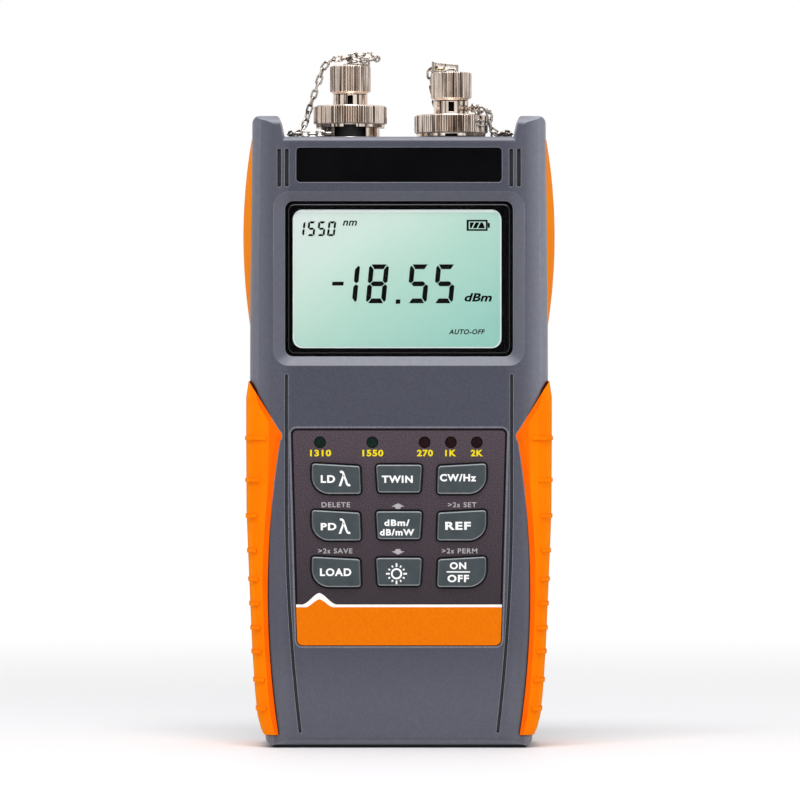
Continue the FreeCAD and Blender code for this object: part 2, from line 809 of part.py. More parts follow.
def door_face(grow=0.0):
    corners = rectangle(DOOR_HALF_WIDTH + grow, DOOR_FOOT_Z - grow, DOOR_TOP_Z + grow)
    return rounded_face(corners, DOOR_CORNER, on_front)


def hinge_barrel(radius, slack=0.0):
    return Part.makeCylinder(
        radius, 2 * (DOOR_HALF_WIDTH + slack), V(-DOOR_HALF_WIDTH - slack, HINGE_Y, HINGE_Z), V(1, 0, 0)
    )


def door_swing_room():
    """Square corners beside the hinge, where the lid's full width swings through."""
    half = DOOR_HALF_WIDTH + DOOR_GAP
    low = DOOR_FOOT_Z - DOOR_GAP
    return block(-half, half, HINGE_Y, BACK_Y + 1, low, low + DOOR_CORNER + 1)


def hinge_pins(slack=0.0):
    """The pin through the barrel, which ends in a blind hole of the shell on each side."""
    half = DOOR_HALF_WIDTH + DOOR_PIN_LENGTH + slack
    return Part.makeCylinder(
        DOOR_PIN_RADIUS + slack, 2 * half, V(-half, HINGE_Y, HINGE_Z), V(1, 0, 0)
    )


def rear_shell(grips):
    shell = case_form().cut(case_form(WALL))
    shell = shell.common(block(-FAR, FAR, 0, FAR, -1, FAR))
    body = case_form(WALL / 2)
    posts = [level(BOSS_RADIUS, 0, INNER_BACK_Y + 0.5, x, z) for x, z in screw_spots()]
    tray = bay_box(DOOR_LEDGE + BAY_WALL, BAY_FRONT_Y - BAY_WALL).common(body)
    shell = shell.fuse([post.common(body) for post in posts] + [tray])
    seat_y = DOOR_INNER_Y - DOOR_GAP / 2
    cutters = [
        bay_box(0, BAY_FRONT_Y),
        along_y(door_face(DOOR_GAP), seat_y, BACK_Y + 1),
        hinge_barrel(DOOR_HINGE_RADIUS + DOOR_GAP, DOOR_GAP),
        hinge_pins(SEAT_GAP),
        door_swing_room(),
    ]
    cutters += port_stem_holes() + list(grips)
    for x, z in screw_spots():
        head_y = BACK_Y - SCREW_HEAD_SINK
        cutters.append(level(SCREW_HEAD_RADIUS + 2 * SEAT_GAP, head_y, BACK_Y + 1, x, z))
        cutters.append(level(SCREW_SHANK_RADIUS + 2 * SEAT_GAP, -1, head_y + 1, x, z))
    return shell.cut(cutters)


def battery_door():
    """Flat lid with a hinge barrel at its foot, a slit round its snap tongue, and thumb grooves."""
    plate = along_y(door_face(), DOOR_INNER_Y, BACK_Y)
    plate = plate.cut(block(-FAR, FAR, -FAR, FAR, 0, HINGE_Z))
    half = DOOR_TONGUE_WIDTH / 2
    low = DOOR_TOP_Z - DOOR_TONGUE_HEIGHT
    snap = block(
        -half + 2, half - 2,
        DOOR_INNER_Y + 0.4, DOOR_INNER_Y + 1.2,
        DOOR_TOP_Z - 0.5, DOOR_TOP_Z + DOOR_SNAP,
    )
    door = plate.fuse([hinge_barrel(DOOR_HINGE_RADIUS), hinge_pins(), snap])
    slits = [
        block(
            side * half - DOOR_TONGUE_SLIT / 2, side * half + DOOR_TONGUE_SLIT / 2,
            DOOR_INNER_Y - 1, BACK_Y + 1, low, DOOR_TOP_Z + 1,
        )
        for side in (-1, 1)
    ]
    grooves = [
        block(
            -half + 2, half - 2,
            BACK_Y - 0.5, BACK_Y + 1,
            DOOR_TOP_Z - 2.0 - i * DOOR_GRIP_PITCH - 0.4, DOOR_TOP_Z - 2.0 - i * DOOR_GRIP_PITCH + 0.4,
        )
        for i in range(DOOR_GRIP_GROOVES)
    ]
    return door.cut(slits + grooves)


# ---------------------------------------------------------------- display

def display_window():
    face = inset(
        rounded_face(
            rectangle(DISPLAY_HALF_WIDTH, DISPLAY_FOOT, DISPLAY_FOOT + DISPLAY_HEIGHT),
            DISPLAY_CORNER,
            on_front,
        ),
        SEAT_GAP,
    )
    return along_y(face, WINDOW_FRONT_Y, WINDOW_BACK_Y)


def view_face(grow=0.0):
    low = DISPLAY_CENTRE_Z - VIEW_HEIGHT / 2 - grow
    corners = rectangle(VIEW_WIDTH / 2 + grow, low, low + VIEW_HEIGHT + 2 * grow, VIEW_OFFSET_X)
    return rounded_face(corners, VIEW_CORNER + grow, on_front)


def display_mask():
    """The black border behind the window."""
    face = inset(
        rounded_face(
            rectangle(DISPLAY_HALF_WIDTH, DISPLAY_FOOT, DISPLAY_FOOT + DISPLAY_HEIGHT),
            DISPLAY_CORNER,
            on_front,
        ),
        SEAT_GAP,
    )
    border = along_y(face, WINDOW_BACK_Y, WINDOW_BACK_Y + MASK_THICKNESS)
    return border.cut(along_y(view_face(), WINDOW_BACK_Y - 1, WINDOW_BACK_Y + 1))


def module_block(near, far, margin):
    """A rectangular layer of the display module behind the window's ledge."""
    ledge = SEAT_LEDGE + SEAT_GAP + margin
    return block(
        -DISPLAY_HALF_WIDTH + ledge, DISPLAY_HALF_WIDTH - ledge,
        near, far,
        DISPLAY_FOOT + ledge, DISPLAY_FOOT + DISPLAY_HEIGHT - ledge,
    )


def lcd_connector():
    """The rubber strip that joins the glass to the board."""
    ledge = SEAT_LEDGE + SEAT_GAP
    low = DISPLAY_FOOT + DISPLAY_HEIGHT - ledge - 2.0
    return block(
        -DISPLAY_HALF_WIDTH + 3, DISPLAY_HALF_WIDTH - 3,
        LCD_BACK_Y, BOARD_FRONT_Y,
        low, low + 1.8,
    )


def light_guide():
    ledge = SEAT_LEDGE + SEAT_GAP
    top = DISPLAY_FOOT + DISPLAY_HEIGHT - ledge - 2.2
    sheet = module_block(LCD_BACK_Y, LIGHT_GUIDE_BACK_Y, 0)
    return sheet.common(block(-FAR, FAR, -FAR, FAR, 0, top))


# ---------------------------------------------------------------- keypad and lamps

def keypad_overlay():
    sheet = along_y(overlay_face(), FRONT_Y, OVERLAY_BACK_Y)
    holes = [
        along_y(key_face(column, row, KEY_GAP), FRONT_Y - 1, INNER_FRONT_Y)
        for column in (-1, 0, 1)
        for row in (-1, 0, 1)
    ]
    holes += [level(LED_RADIUS + SEAT_GAP, FRONT_Y - 1, INNER_FRONT_Y, x, LED_CENTRE_Z) for x in LED_XS]
    return sheet.cut(holes)


def key(column, row):
    """One key: a cap with softened edges, a flange behind the panel and a plunger over its contact."""
    cap = along_y(key_face(column, row), KEY_TOP_Y, KEY_FLANGE_FRONT_Y)
    rim = [
        edge for edge in cap.Edges
        if abs(edge.BoundBox.YMin - KEY_TOP_Y) < 1e-4 and abs(edge.BoundBox.YMax - KEY_TOP_Y) < 1e-4
    ]
    cap = cap.makeFillet(KEY_EDGE, rim)
    flange = along_y(key_face(column, row, KEY_FLANGE), KEY_FLANGE_FRONT_Y, KEY_FLANGE_BACK_Y)
    x = column * KEY_PITCH_X
    z = KEY_CENTRE_Z - row * KEY_PITCH_Z
    plunger = level(PLUNGER_RADIUS, KEY_FLANGE_BACK_Y - 0.1, PLUNGER_END_Y, x, z)
    return joined([cap, flange, plunger])


def keypad_mat():
    """The rubber web round the keys, pinned behind the panel."""
    half_w = KEY_PITCH_X + KEY_WIDTH / 2 + MAT_MARGIN
    low = KEY_CENTRE_Z - KEY_PITCH_Z - KEY_HEIGHT / 2 - MAT_MARGIN
    high = KEY_CENTRE_Z + KEY_PITCH_Z + KEY_HEIGHT / 2 + MAT_MARGIN
    face = rounded_face(rectangle(half_w, low, high), 2.0, on_front)
    near = INNER_FRONT_Y + SEAT_GAP
    web = along_y(face, near, near + MAT_THICKNESS)
    holes = [
        along_y(key_face(column, row, KEY_FLANGE + KEY_GAP / 2), near - 1, near + 3)
        for column in (-1, 0, 1)
        for row in (-1, 0, 1)
    ]
    return web.cut(holes)


def key_contacts():
    """The nine gold pads on the board under the plungers."""
    return Part.Compound([
        level(
            PLUNGER_RADIUS + 0.6, CONTACT_FRONT_Y, BOARD_FRONT_Y,
            column * KEY_PITCH_X, KEY_CENTRE_Z - row * KEY_PITCH_Z,
        )
        for column in (-1, 0, 1)
        for row in (-1, 0, 1)
    ])


def led(x):
    """A lamp with a flat top, a flange behind the panel and a body that stands on the board."""
    flange_y = INNER_FRONT_Y + SEAT_GAP
    body = level(LED_RADIUS, FRONT_Y + LED_SINK, BOARD_FRONT_Y, x, LED_CENTRE_Z)
    flange = level(
        LED_RADIUS + LED_FLANGE, flange_y, flange_y + LED_FLANGE_THICKNESS, x, LED_CENTRE_Z
    )
    return joined([body, flange])


# ---------------------------------------------------------------- circuit board

def main_board():
    face = rounded_face(rectangle(BOARD_HALF_WIDTH, BOARD_FOOT, BOARD_TOP), 1.5, on_front)
    board = along_y(face, BOARD_FRONT_Y, BOARD_BACK_Y)
    holes = [
        level(BOARD_HOLE_RADIUS + SEAT_GAP, BOARD_FRONT_Y - 1, BOARD_BACK_Y + 1, x, z)
        for x, z in board_screw_spots()
    ]
    return board.cut(holes)


def board_chips():
    """The packages on the back of the board: (centre x, centre z, width, height, thickness)."""
    chips = (
        (-14.0, 88.0, 12.0, 12.0, 1.4),
        (6.0, 84.0, 8.0, 5.0, 1.2),
        (18.0, 92.0, 5.0, 6.4, 1.2),
        (15.0, 108.0, 9.0, 6.0, 1.6),
    )
    return Part.Compound([
        block(x - w / 2, x + w / 2, BOARD_BACK_Y, BOARD_BACK_Y + t, z - h / 2, z + h / 2)
        for x, z, w, h, t in chips
    ])


def amplifier_shield():
    """The tin can over the detector's amplifier."""
    width, height, rise, sheet = 18.0, 15.0, 2.6, 0.3
    x, z = PORT_XS["left"], 120.0
    can = block(x - width / 2, x + width / 2, BOARD_BACK_Y, BOARD_BACK_Y + rise, z - height / 2, z + height / 2)
    room = block(
        x - width / 2 + sheet, x + width / 2 - sheet,
        BOARD_BACK_Y - 1, BOARD_BACK_Y + rise - sheet,
        z - height / 2 + sheet, z + height / 2 - sheet,
    )
    return can.cut(room)


def screw(x, z, head_front_y, head_height, head_radius, shank_radius, tip_y):
    """A pan-head screw driven from the back, with a cross recess drawn as a round one."""
    head = level(head_radius, head_front_y, head_front_y + head_height, x, z)
    shank = level(shank_radius, tip_y, head_front_y + 0.1, x, z)
    recess = level(
        SCREW_DRIVE_RADIUS, head_front_y + head_height - 0.8, head_front_y + head_height + 1, x, z
    )
    return head.fuse(shank).cut(recess)


def case_screws():
    head_y = BACK_Y - SCREW_HEAD_SINK
    return Part.Compound([
        screw(x, z, head_y, SCREW_HEAD_HEIGHT, SCREW_HEAD_RADIUS, SCREW_SHANK_RADIUS, -8.0)
        for x, z in screw_spots()
    ])


def board_screws():
    return Part.Compound([
        screw(x, z, BOARD_BACK_Y, 1.2, 2.0, BOARD_HOLE_RADIUS - SEAT_GAP, INNER_FRONT_Y + 1.2)
        for x, z in board_screw_spots()
    ])


# ---------------------------------------------------------------- cells and contacts

CELL_NAMES = ("battery_left", "battery_middle", "battery_right")


def cell(index):
    """A size AA cell. The middle one stands the other way up."""
    x = (index - 1) * CELL_PITCH
    foot = CELL_FOOT_Z
    if index == 1:
        can = upright(CELL_RADIUS, foot + CELL_NUB_LENGTH, foot + CELL_TOTAL, x, CELL_Y)
        nub = upright(CELL_NUB_RADIUS, foot, foot + CELL_NUB_LENGTH, x, CELL_Y)
    else:
        can = upright(CELL_RADIUS, foot, foot + CELL_LENGTH, x, CELL_Y)
        nub = upright(CELL_NUB_RADIUS, foot + CELL_LENGTH, foot + CELL_TOTAL, x, CELL_Y)
    return can.fuse(nub)


def contact_strip(x, wall_z, tip_z):
    """A leaf contact: a strip against the bay wall, bent out to touch the end of a cell."""
    away = 1 if tip_z > wall_z else -1
    t = CONTACT_STRIP
    y_low, y_high = CELL_Y - 4.0, CELL_Y + 4.0
    outline = closed_face(
        (y_low, wall_z),
        [
            (y_high, wall_z),
            (y_high, wall_z + away * t),
            (CELL_Y + 2.5, wall_z + away * t),
            (CELL_Y + 0.5, tip_z),
            (CELL_Y - 1.5, tip_z),
            (CELL_Y - 3.4, wall_z + away * t),
            (y_low, wall_z + away * t),
        ],
        on_side,
    )
    return along_x(outline, x - CONTACT_WIDTH / 2, x + CONTACT_WIDTH / 2)


def lower_contacts():
    return Part.Compound([
        contact_strip((i - 1) * CELL_PITCH, BAY_FLOOR_Z, CELL_FOOT_Z) for i in range(3)
    ])


def upper_contacts():
    return Part.Compound([
        contact_strip((i - 1) * CELL_PITCH, BAY_CEILING_Z, CELL_FOOT_Z + CELL_TOTAL) for i in range(3)
    ])


# ---------------------------------------------------------------- fibre ports

def ring_foot(side):
    """Height of the coupling ring's foot above the base."""
    return DECK_HEIGHT + PORT_SEAT + PORT_LIFTS[side]


def ring_top(side):
    return ring_foot(side) + RING_LIP_HEIGHT + RING_HEIGHT


def slip_foot(side):
    """Height of the underside of the slip washer, where the adapter's flange ends."""
    return ring_top(side) - RING_TOP_WALL - SLIP_GAP - SLIP_THICKNESS


def adapter_seat(side):
    """Height of the face that the adapter's flange stands on."""
    return slip_foot(side) - ADAPTER_FLANGE_HEIGHT


def cap_foot(side):
    return ring_top(side) + NECK_HEIGHTS[side]


def cap_top(side):
    return cap_foot(side) + CAP_HEIGHT


def knurl(radius, tooth, teeth, low, high, x):
    """A prism with V-shaped teeth all the way round."""
    points = []
    for i in range(2 * teeth):
        angle = math.pi * i / teeth
        r = radius if i % 2 == 0 else radius - tooth
        points.append(V(x + r * math.cos(angle), r * math.sin(angle), low))
    face = Part.Face(Part.makePolygon(points + [points[0]]))
    return face.extrude(V(0, 0, high - low))


def port_base(side):
    """The threaded seat: a stem through the deck, a round neck and a thread for the coupling ring."""
    x = PORT_XS[side]
    foot, seat = ring_foot(side), adapter_seat(side)
    thread_foot = seat - BASE_THREAD_HEIGHT
    stem_foot = DECK_UNDERSIDE - NUT_HEIGHT - 1.2
    body = turned(
        [
            (CORE_RADIUS + CORE_FIT, stem_foot),
            (BASE_STEM_RADIUS, stem_foot),
            (BASE_STEM_RADIUS, DECK_HEIGHT),
            (BASE_NECK_RADIUS, DECK_HEIGHT),
            (BASE_NECK_RADIUS, thread_foot),
            (BASE_THREAD_RADIUS, thread_foot + 0.3),
            (BASE_THREAD_RADIUS, seat),
            (CORE_RADIUS + CORE_FIT, seat),
        ],
        x,
    )
    half = BASE_WINDOW_WIDTH / 2
    window = block(x - half, x + half, -FAR, 0, DECK_HEIGHT + 0.3, foot + 1.2)
    return body.cut(window)


def port_core(side):
    """The black insulating bush that carries the detector or the laser."""
    x = PORT_XS[side]
    stem_foot = DECK_UNDERSIDE - NUT_HEIGHT - 1.2
    seat = adapter_seat(side)
    body = upright(CORE_RADIUS, stem_foot, seat - SEAT_GAP, x)
    return body.cut(upright(FERRULE_RADIUS + 0.6, stem_foot - 1, seat + 1, x))


def port_nut(side):
    """The thin hexagon nut that clamps both case halves from below."""
    x = PORT_XS[side]
    corner = NUT_FLATS / math.sqrt(3)
    points = [
        V(x + corner * math.cos(math.radians(60 * i)), corner * math.sin(math.radians(60 * i)), 0)
        for i in range(6)
    ]
    face = Part.Face(Part.makePolygon(points + [points[0]]))
    nut = along_z(face, DECK_UNDERSIDE - NUT_HEIGHT, DECK_UNDERSIDE)
    return nut.cut(upright(BASE_STEM_RADIUS + THREAD_CLEARANCE, DECK_UNDERSIDE - 10, DECK_HEIGHT, x))


def slip_washer(side):
    """Thin washer between the ring and the adapter's flange; it rises with the ring."""
    x = PORT_XS[side]
    foot = slip_foot(side)
    disc = upright(ADAPTER_FLANGE_RADIUS, foot, foot + SLIP_THICKNESS, x)
    return disc.cut(upright(ADAPTER_NECK_RADIUS + SEAT_GAP, foot - 1, foot + 1, x))


def coupling_ring(side):
    """Knurled ring that pulls the adapter's flange down on the base."""
    x = PORT_XS[side]
    foot, top = ring_foot(side), ring_top(side)
    knurl_foot = foot + RING_LIP_HEIGHT
    bore = BASE_THREAD_RADIUS + THREAD_CLEARANCE
    blank = turned(
        [
            (bore, foot),
            (RING_LIP_RADIUS, foot),
            (RING_LIP_RADIUS, knurl_foot),
            (RING_RADIUS - RING_CHAMFER, knurl_foot),
            (RING_RADIUS + 0.01, knurl_foot + RING_CHAMFER),
            (RING_RADIUS + 0.01, top - RING_CHAMFER),
            (RING_RADIUS - RING_CHAMFER, top),
            (ADAPTER_NECK_RADIUS + SEAT_GAP, top),
            (ADAPTER_NECK_RADIUS + SEAT_GAP, top - RING_TOP_WALL),
            (bore, top - RING_TOP_WALL),
        ],
        x,
    )
    teeth = knurl(RING_RADIUS, RING_TOOTH, RING_TEETH, foot, top, x)
    ring = blank.common(teeth)
    half = RING_SLOT_WIDTH / 2
    slots = [
        block(x - half, x + half, -FAR, FAR, foot - 1, foot + RING_SLOT_HEIGHT),
        block(x - FAR, x + FAR, -half, half, foot - 1, foot + RING_SLOT_HEIGHT),
    ]
    return ring.cut(slots)


def adapter(side):
    """Connector body: flange, smooth neck with its keyway window, threaded barrel and split sleeve."""
    x = PORT_XS[side]
    seat, neck_top = adapter_seat(side), cap_foot(side)
    flange_top = slip_foot(side)
    barrel_top = neck_top + ADAPTER_BARREL_HEIGHT
    floor = flange_top + 0.4
    body = turned(
        [
            (FERRULE_RADIUS, seat),
            (ADAPTER_FLANGE_RADIUS, seat),
            (ADAPTER_FLANGE_RADIUS, flange_top),
            (ADAPTER_NECK_RADIUS, flange_top),
            (ADAPTER_NECK_RADIUS, neck_top - 0.2),
            (ADAPTER_BARREL_RADIUS, neck_top - 0.2),
            (ADAPTER_BARREL_RADIUS, barrel_top),
            (ADAPTER_BORE_RADIUS, barrel_top),
            (ADAPTER_BORE_RADIUS, floor),
            (SLEEVE_RADIUS, floor),
            (SLEEVE_RADIUS, barrel_top - 0.8),
            (FERRULE_RADIUS, barrel_top - 0.8),
        ],
        x,
    )
    half = KEYWAY_WIDTH / 2
    keyway = block(
        x - half, x + half, -FAR, -SLEEVE_RADIUS - 0.2, neck_top - 0.4 - KEYWAY_HEIGHT, neck_top - 0.4
    )
    return body.cut(keyway)


def dust_cap(side):
    """Knurled screw cap over the adapter's barrel."""
    x = PORT_XS[side]
    foot, top = cap_foot(side), cap_top(side)
    bore = ADAPTER_BARREL_RADIUS + THREAD_CLEARANCE
    blank = turned(
        [
            (bore, foot),
            (ADAPTER_NECK_RADIUS, foot),
            (CAP_RADIUS + 0.01, foot + CAP_CHAMFER),
            (CAP_RADIUS + 0.01, top - CAP_TOP_CHAMFER),
            (CAP_RADIUS - CAP_TOP_CHAMFER, top),
            (RIVET_RADIUS + SEAT_GAP / 2, top),
            (RIVET_RADIUS + SEAT_GAP / 2, top - CAP_ROOF),
            (bore, top - CAP_ROOF),
        ],
        x,
    )
    return blank.common(knurl(CAP_RADIUS, CAP_TOOTH, CAP_TEETH, foot, top, x))


def rivet(side):
    """Turns in the hole of the cap's roof: a shoulder below, a low head above the tab."""
    top = cap_top(side)
    head_foot = top + TAB_GAP + TAB_THICKNESS
    return turned(
        [
            (0, top - CAP_ROOF - 0.5),
            (RIVET_RADIUS + 0.5, top - CAP_ROOF - 0.5),
            (RIVET_RADIUS + 0.5, top - CAP_ROOF - SEAT_GAP / 2),
            (RIVET_RADIUS, top - CAP_ROOF - SEAT_GAP / 2),
            (RIVET_RADIUS, head_foot),
            (RIVET_HEAD_RADIUS, head_foot),
            (RIVET_HEAD_RADIUS * 0.7, head_foot + RIVET_HEAD_HEIGHT),
            (0, head_foot + RIVET_HEAD_HEIGHT),
        ],
        PORT_XS[side],
    )


# Bent strips seen from the front, as (x from the rivet, height above the cap's top).
# The left one is a tab whose ear stands up at the right. The right one is a closed stirrup.
LEFT_TAB_REACH = 5.2
LEFT_EAR_HEIGHT = 1.9
STIRRUP_LEFT = -5.1
STIRRUP_RIGHT = 1.9
STIRRUP_TALL = 3.0
STIRRUP_LOW = 2.0


def cap_swivel(side):
    """The bent strip that turns on a rivet through the cap's roof and holds the chain's first link."""
    x, top = PORT_XS[side], cap_top(side)
    t, gap = TAB_THICKNESS, TAB_GAP
    if side == "left":
        outline = [
            (-1.8, gap), (LEFT_TAB_REACH, gap), (LEFT_TAB_REACH, LEFT_EAR_HEIGHT),
            (LEFT_TAB_REACH - t, LEFT_EAR_HEIGHT), (LEFT_TAB_REACH - t, gap + t), (-1.8, gap + t),
        ]
    else:
        outline = [
            (STIRRUP_LEFT, gap), (STIRRUP_RIGHT, gap), (STIRRUP_RIGHT, STIRRUP_LOW),
            (STIRRUP_LEFT + 1.0, STIRRUP_TALL - 0.4), (STIRRUP_LEFT, STIRRUP_TALL),
        ]
    points = [(x + dx, top + dz) for dx, dz in outline]
    strip = along_y(closed_face(points[0], points[1:], on_front), -TAB_HALF_WIDTH, TAB_HALF_WIDTH)
    if side == "right":
        inner = [
            (STIRRUP_LEFT + t, gap + t), (STIRRUP_RIGHT - t, gap + t),
            (STIRRUP_RIGHT - t, STIRRUP_LOW - t), (STIRRUP_LEFT + t, STIRRUP_TALL - 0.4 - t),
        ]
        points = [(x + dx, top + dz) for dx, dz in inner]
        strip = strip.cut(
            along_y(closed_face(points[0], points[1:], on_front), -TAB_HALF_WIDTH - 1, TAB_HALF_WIDTH + 1)
        )
    else:
        eye = Part.makeCylinder(
            0.6, 4.0, V(x + LEFT_TAB_REACH - 2.0, 0, top + LEFT_EAR_HEIGHT - 1.0), V(1, 0, 0)
        )
        strip = strip.cut(eye)
    return joined([strip, rivet(side)])


def detector():
    """The photodiode in its metal can, with three leads, under the left port."""
    x = PORT_XS["left"]
    top = DECK_UNDERSIDE - NUT_HEIGHT - 1.2
    can = upright(4.6, top - 5.0, top, x)
    leads = [upright(0.35, top - 9.0, top - 4.9, x + dx, dy) for dx, dy in ((-1.6, 0), (1.6, 0), (0, 1.8))]
    return can.fuse(leads)


def laser_module():
    """The coaxial laser can with its clamp flange, under the right port."""
    x = PORT_XS["right"]
    top = DECK_UNDERSIDE - NUT_HEIGHT - 1.2
    can = upright(3.2, top - 10.0, top, x)
    flange = upright(5.0, top - 2.0, top, x)
    leads = [upright(0.35, top - 14.0, top - 9.9, x + dx, dy) for dx, dy in ((-1.3, 0), (1.3, 0), (0, 1.3))]
    return can.fuse([flange] + leads)


# ---------------------------------------------------------------- chains

def chain_collar(side):
    """The wire ring round a port's neck, lying on the deck."""
    x = PORT_XS[side]
    inner = BASE_NECK_RADIUS + COLLAR_GAP
    foot = DECK_HEIGHT + 0.02
    ring = upright(inner + COLLAR_WIRE, foot, foot + COLLAR_WIRE, x)
    return ring.cut(upright(inner, foot - 1, foot + 1, x))


def link():
    """One six-sided chain link in the XY plane, long way along X, centred on the origin."""
    def loop(half_length, half_width):
        corner = half_length * 0.7
        return [
            (-half_length, 0), (-corner, -half_width), (corner, -half_width),
            (half_length, 0), (corner, half_width), (-corner, half_width),
        ]

    outer = closed_face(loop(LINK_LENGTH / 2, LINK_WIDTH / 2)[0], loop(LINK_LENGTH / 2, LINK_WIDTH / 2)[1:], on_plan)
    inner_points = loop(LINK_LENGTH / 2 - LINK_WIRE, LINK_WIDTH / 2 - LINK_WIRE)
    inner = closed_face(inner_points[0], inner_points[1:], on_plan)
    return along_z(outer, -LINK_WIRE / 2, LINK_WIRE / 2).cut(along_z(inner, -LINK_WIRE, LINK_WIRE))


def chain(side, points):
    """Links hung evenly along a smooth curve, each a quarter turn on, and the wire ring at its end."""
    curve = Part.BSplineCurve()
    curve.interpolate([V(*p) for p in points])
    edge = curve.toShape()
    count = int(edge.Length / LINK_PITCH)
    pattern = link()
    links = [chain_collar(side)]
    for i in range(count):
        at = edge.getParameterByLength((i + 0.5) * edge.Length / count)
        here = edge.valueAt(at)
        ahead = edge.tangentAt(at)
        across = ahead.cross(V(0, 0, 1))
        if across.Length < 0.2:
            across = V(0, 1, 0)
        across = across.normalize()
        up = across.cross(ahead).normalize()
        turn = FreeCAD.Rotation(ahead, across, up, "XYZ")
        spin = FreeCAD.Rotation(V(1, 0, 0), 45 + 90 * (i % 2))
        placed = pattern.copy()
        placed.Placement = FreeCAD.Placement(here, turn.multiply(spin))
        links.append(placed)
    return Part.Compound(links)


def left_chain_points():
    """Doubled up on the cap, down its left side, out to the guard and back to the ring on the deck."""
    x, top = PORT_XS["left"], cap_top("left")
    deck = DECK_HEIGHT + LINK_WIDTH / 2 + 0.15
    return [
        (x + 3.7, 0.9, top + 1.75),
        (x + 1.9, 1.6, top + 1.8),
        (x - 0.4, 0.9, top + 1.95),
        (x + 0.3, -1.8, top + 1.9),
        (x + 3.0, -2.7, top + 1.5),
        (x + 5.9, -3.0, top + 1.6),
        (x + 7.1, -0.6, top + 2.3),
        (x + 4.6, -0.4, top + 3.0),
        (x + 1.8, -0.5, top + 2.9),
        (x - 1.2, -0.8, top + 2.2),
        (x - 4.8, -0.9, top + 1.6),
        (x - 7.0, -0.8, top - 0.3),
        (x - 8.2, -0.7, top - 3.6),
        (x - 9.6, -0.7, top - 7.6),
        (x - 11.1, -0.7, top - 12.2),
        (x - 11.9, -1.4, deck + 3.2),
        (x - 13.4, -2.6, deck + 0.6),
        (x - 15.6, -4.4, deck),
        (x - 15.2, -6.6, deck),
        (x - 12.0, -7.5, deck),
        (x - 8.6, -7.8, deck),
        (x - 4.9, -8.6, deck),
    ]


def right_chain_points():
    """Behind the stirrup and the cap, round the neck on the ring, 1.5 turns, then out to the guard."""
    x, top = PORT_XS["right"], cap_top("right")
    ring = ring_top("right") + LINK_WIDTH / 2 + 0.8
    deck = DECK_HEIGHT + LINK_WIDTH / 2 + 0.15
    loop_x, loop_y, loop_z, loop_r = x + 8.3, -9.6, ring - 2.6, 1.75
    loop = [
        (
            loop_x - loop_r * math.cos(math.radians(a)),
            loop_y - 2.2 * a / 560,
            loop_z + loop_r * math.sin(math.radians(a)),
        )
        for a in range(60, 580, 50)
    ]
    return [
        (x - 2.0, 2.6, top + 1.6),
        (x - 4.2, 3.4, top + 1.6),
        (x - 5.5, 4.5, top + 0.5),
        (x - 5.3, 4.7, top - 1.6),
        (x - 4.8, 5.1, top - 4.6),
        (x - 4.2, 5.5, top - 7.6),
        (x - 3.2, 5.6, ring + 0.3),
        (x + 0.8, 6.3, ring),
        (x + 4.8, 4.2, ring),
        (x + 6.2, 0.2, ring),
        (x + 5.6, -3.6, ring + 0.2),
        (x + 6.2, -6.8, ring + 0.1),
        (x + 6.8, -8.6, ring - 0.2),
    ] + loop + [
        (x + 10.3, -11.6, deck + 1.5),
        (x + 11.6, -11.2, deck + 0.1),
        (x + 14.0, -9.8, deck),
        (x + 15.3, -7.4, deck),
        (x + 15.2, -4.4, deck),
        (x + 13.4, -2.0, deck),
        (x + 12.2, 0.6, deck),
        (x + 10.9, 2.4, deck),
    ]


# ---------------------------------------------------------------- the whole meter

KEY_NAMES = {
    (-1, -1): "key_source_wavelength", (0, -1): "key_twin", (1, -1): "key_modulation",
    (-1, 0): "key_meter_wavelength", (0, 0): "key_unit", (1, 0): "key_reference",
    (-1, 1): "key_load", (0, 1): "key_backlight", (1, 1): "key_power",
}


def build():
    grip_right = right_grip()
    grip_left = mirrored(grip_right)
    parts = {
        "right_grip": grip_right,
        "left_grip": grip_left,
        "front_shell": front_shell((grip_right, grip_left)),
        "rear_shell": rear_shell((grip_right, grip_left)),
        "battery_door": battery_door(),
        "name_plate": along_y(plate_face(), FRONT_Y, FRONT_Y + PLATE_THICKNESS),
        "display_window": display_window(),
        "display_mask": display_mask(),
        "lcd_glass": module_block(LCD_FRONT_Y, LCD_BACK_Y, 0),
        "light_guide": light_guide(),
        "lcd_connector": lcd_connector(),
        "keypad_overlay": keypad_overlay(),
        "keypad_mat": keypad_mat(),
        "key_contacts": key_contacts(),
        "main_board": main_board(),
        "board_chips": board_chips(),
        "amplifier_shield": amplifier_shield(),
        "case_screws": case_screws(),
        "board_screws": board_screws(),
        "lower_contacts": lower_contacts(),
        "upper_contacts": upper_contacts(),
        "detector": detector(),
        "laser_module": laser_module(),
        "left_chain": chain("left", left_chain_points()),
        "right_chain": chain("right", right_chain_points()),
    }
    for (column, row), name in KEY_NAMES.items():
        parts[name] = key(column, row)
    for name, x in zip(LED_NAMES, LED_XS):
        parts[name] = led(x)
    for index, name in enumerate(CELL_NAMES):
        parts[name] = cell(index)
    for side in PORT_XS:
        parts[side + "_port_base"] = port_base(side)
        parts[side + "_port_core"] = port_core(side)
        parts[side + "_port_nut"] = port_nut(side)
        parts[side + "_coupling_ring"] = coupling_ring(side)
        parts[side + "_adapter"] = adapter(side)
        parts[side + "_dust_cap"] = dust_cap(side)
        parts[side + "_cap_swivel"] = cap_swivel(side)
        parts[side + "_slip_washer"] = slip_washer(side)
    return parts


os.makedirs("parts", exist_ok=True)
for name, shape in build().items():
    shape.exportStep("parts/" + name + ".step")
    print(name, len(shape.Solids), round(shape.Volume, 2), shape.isValid())
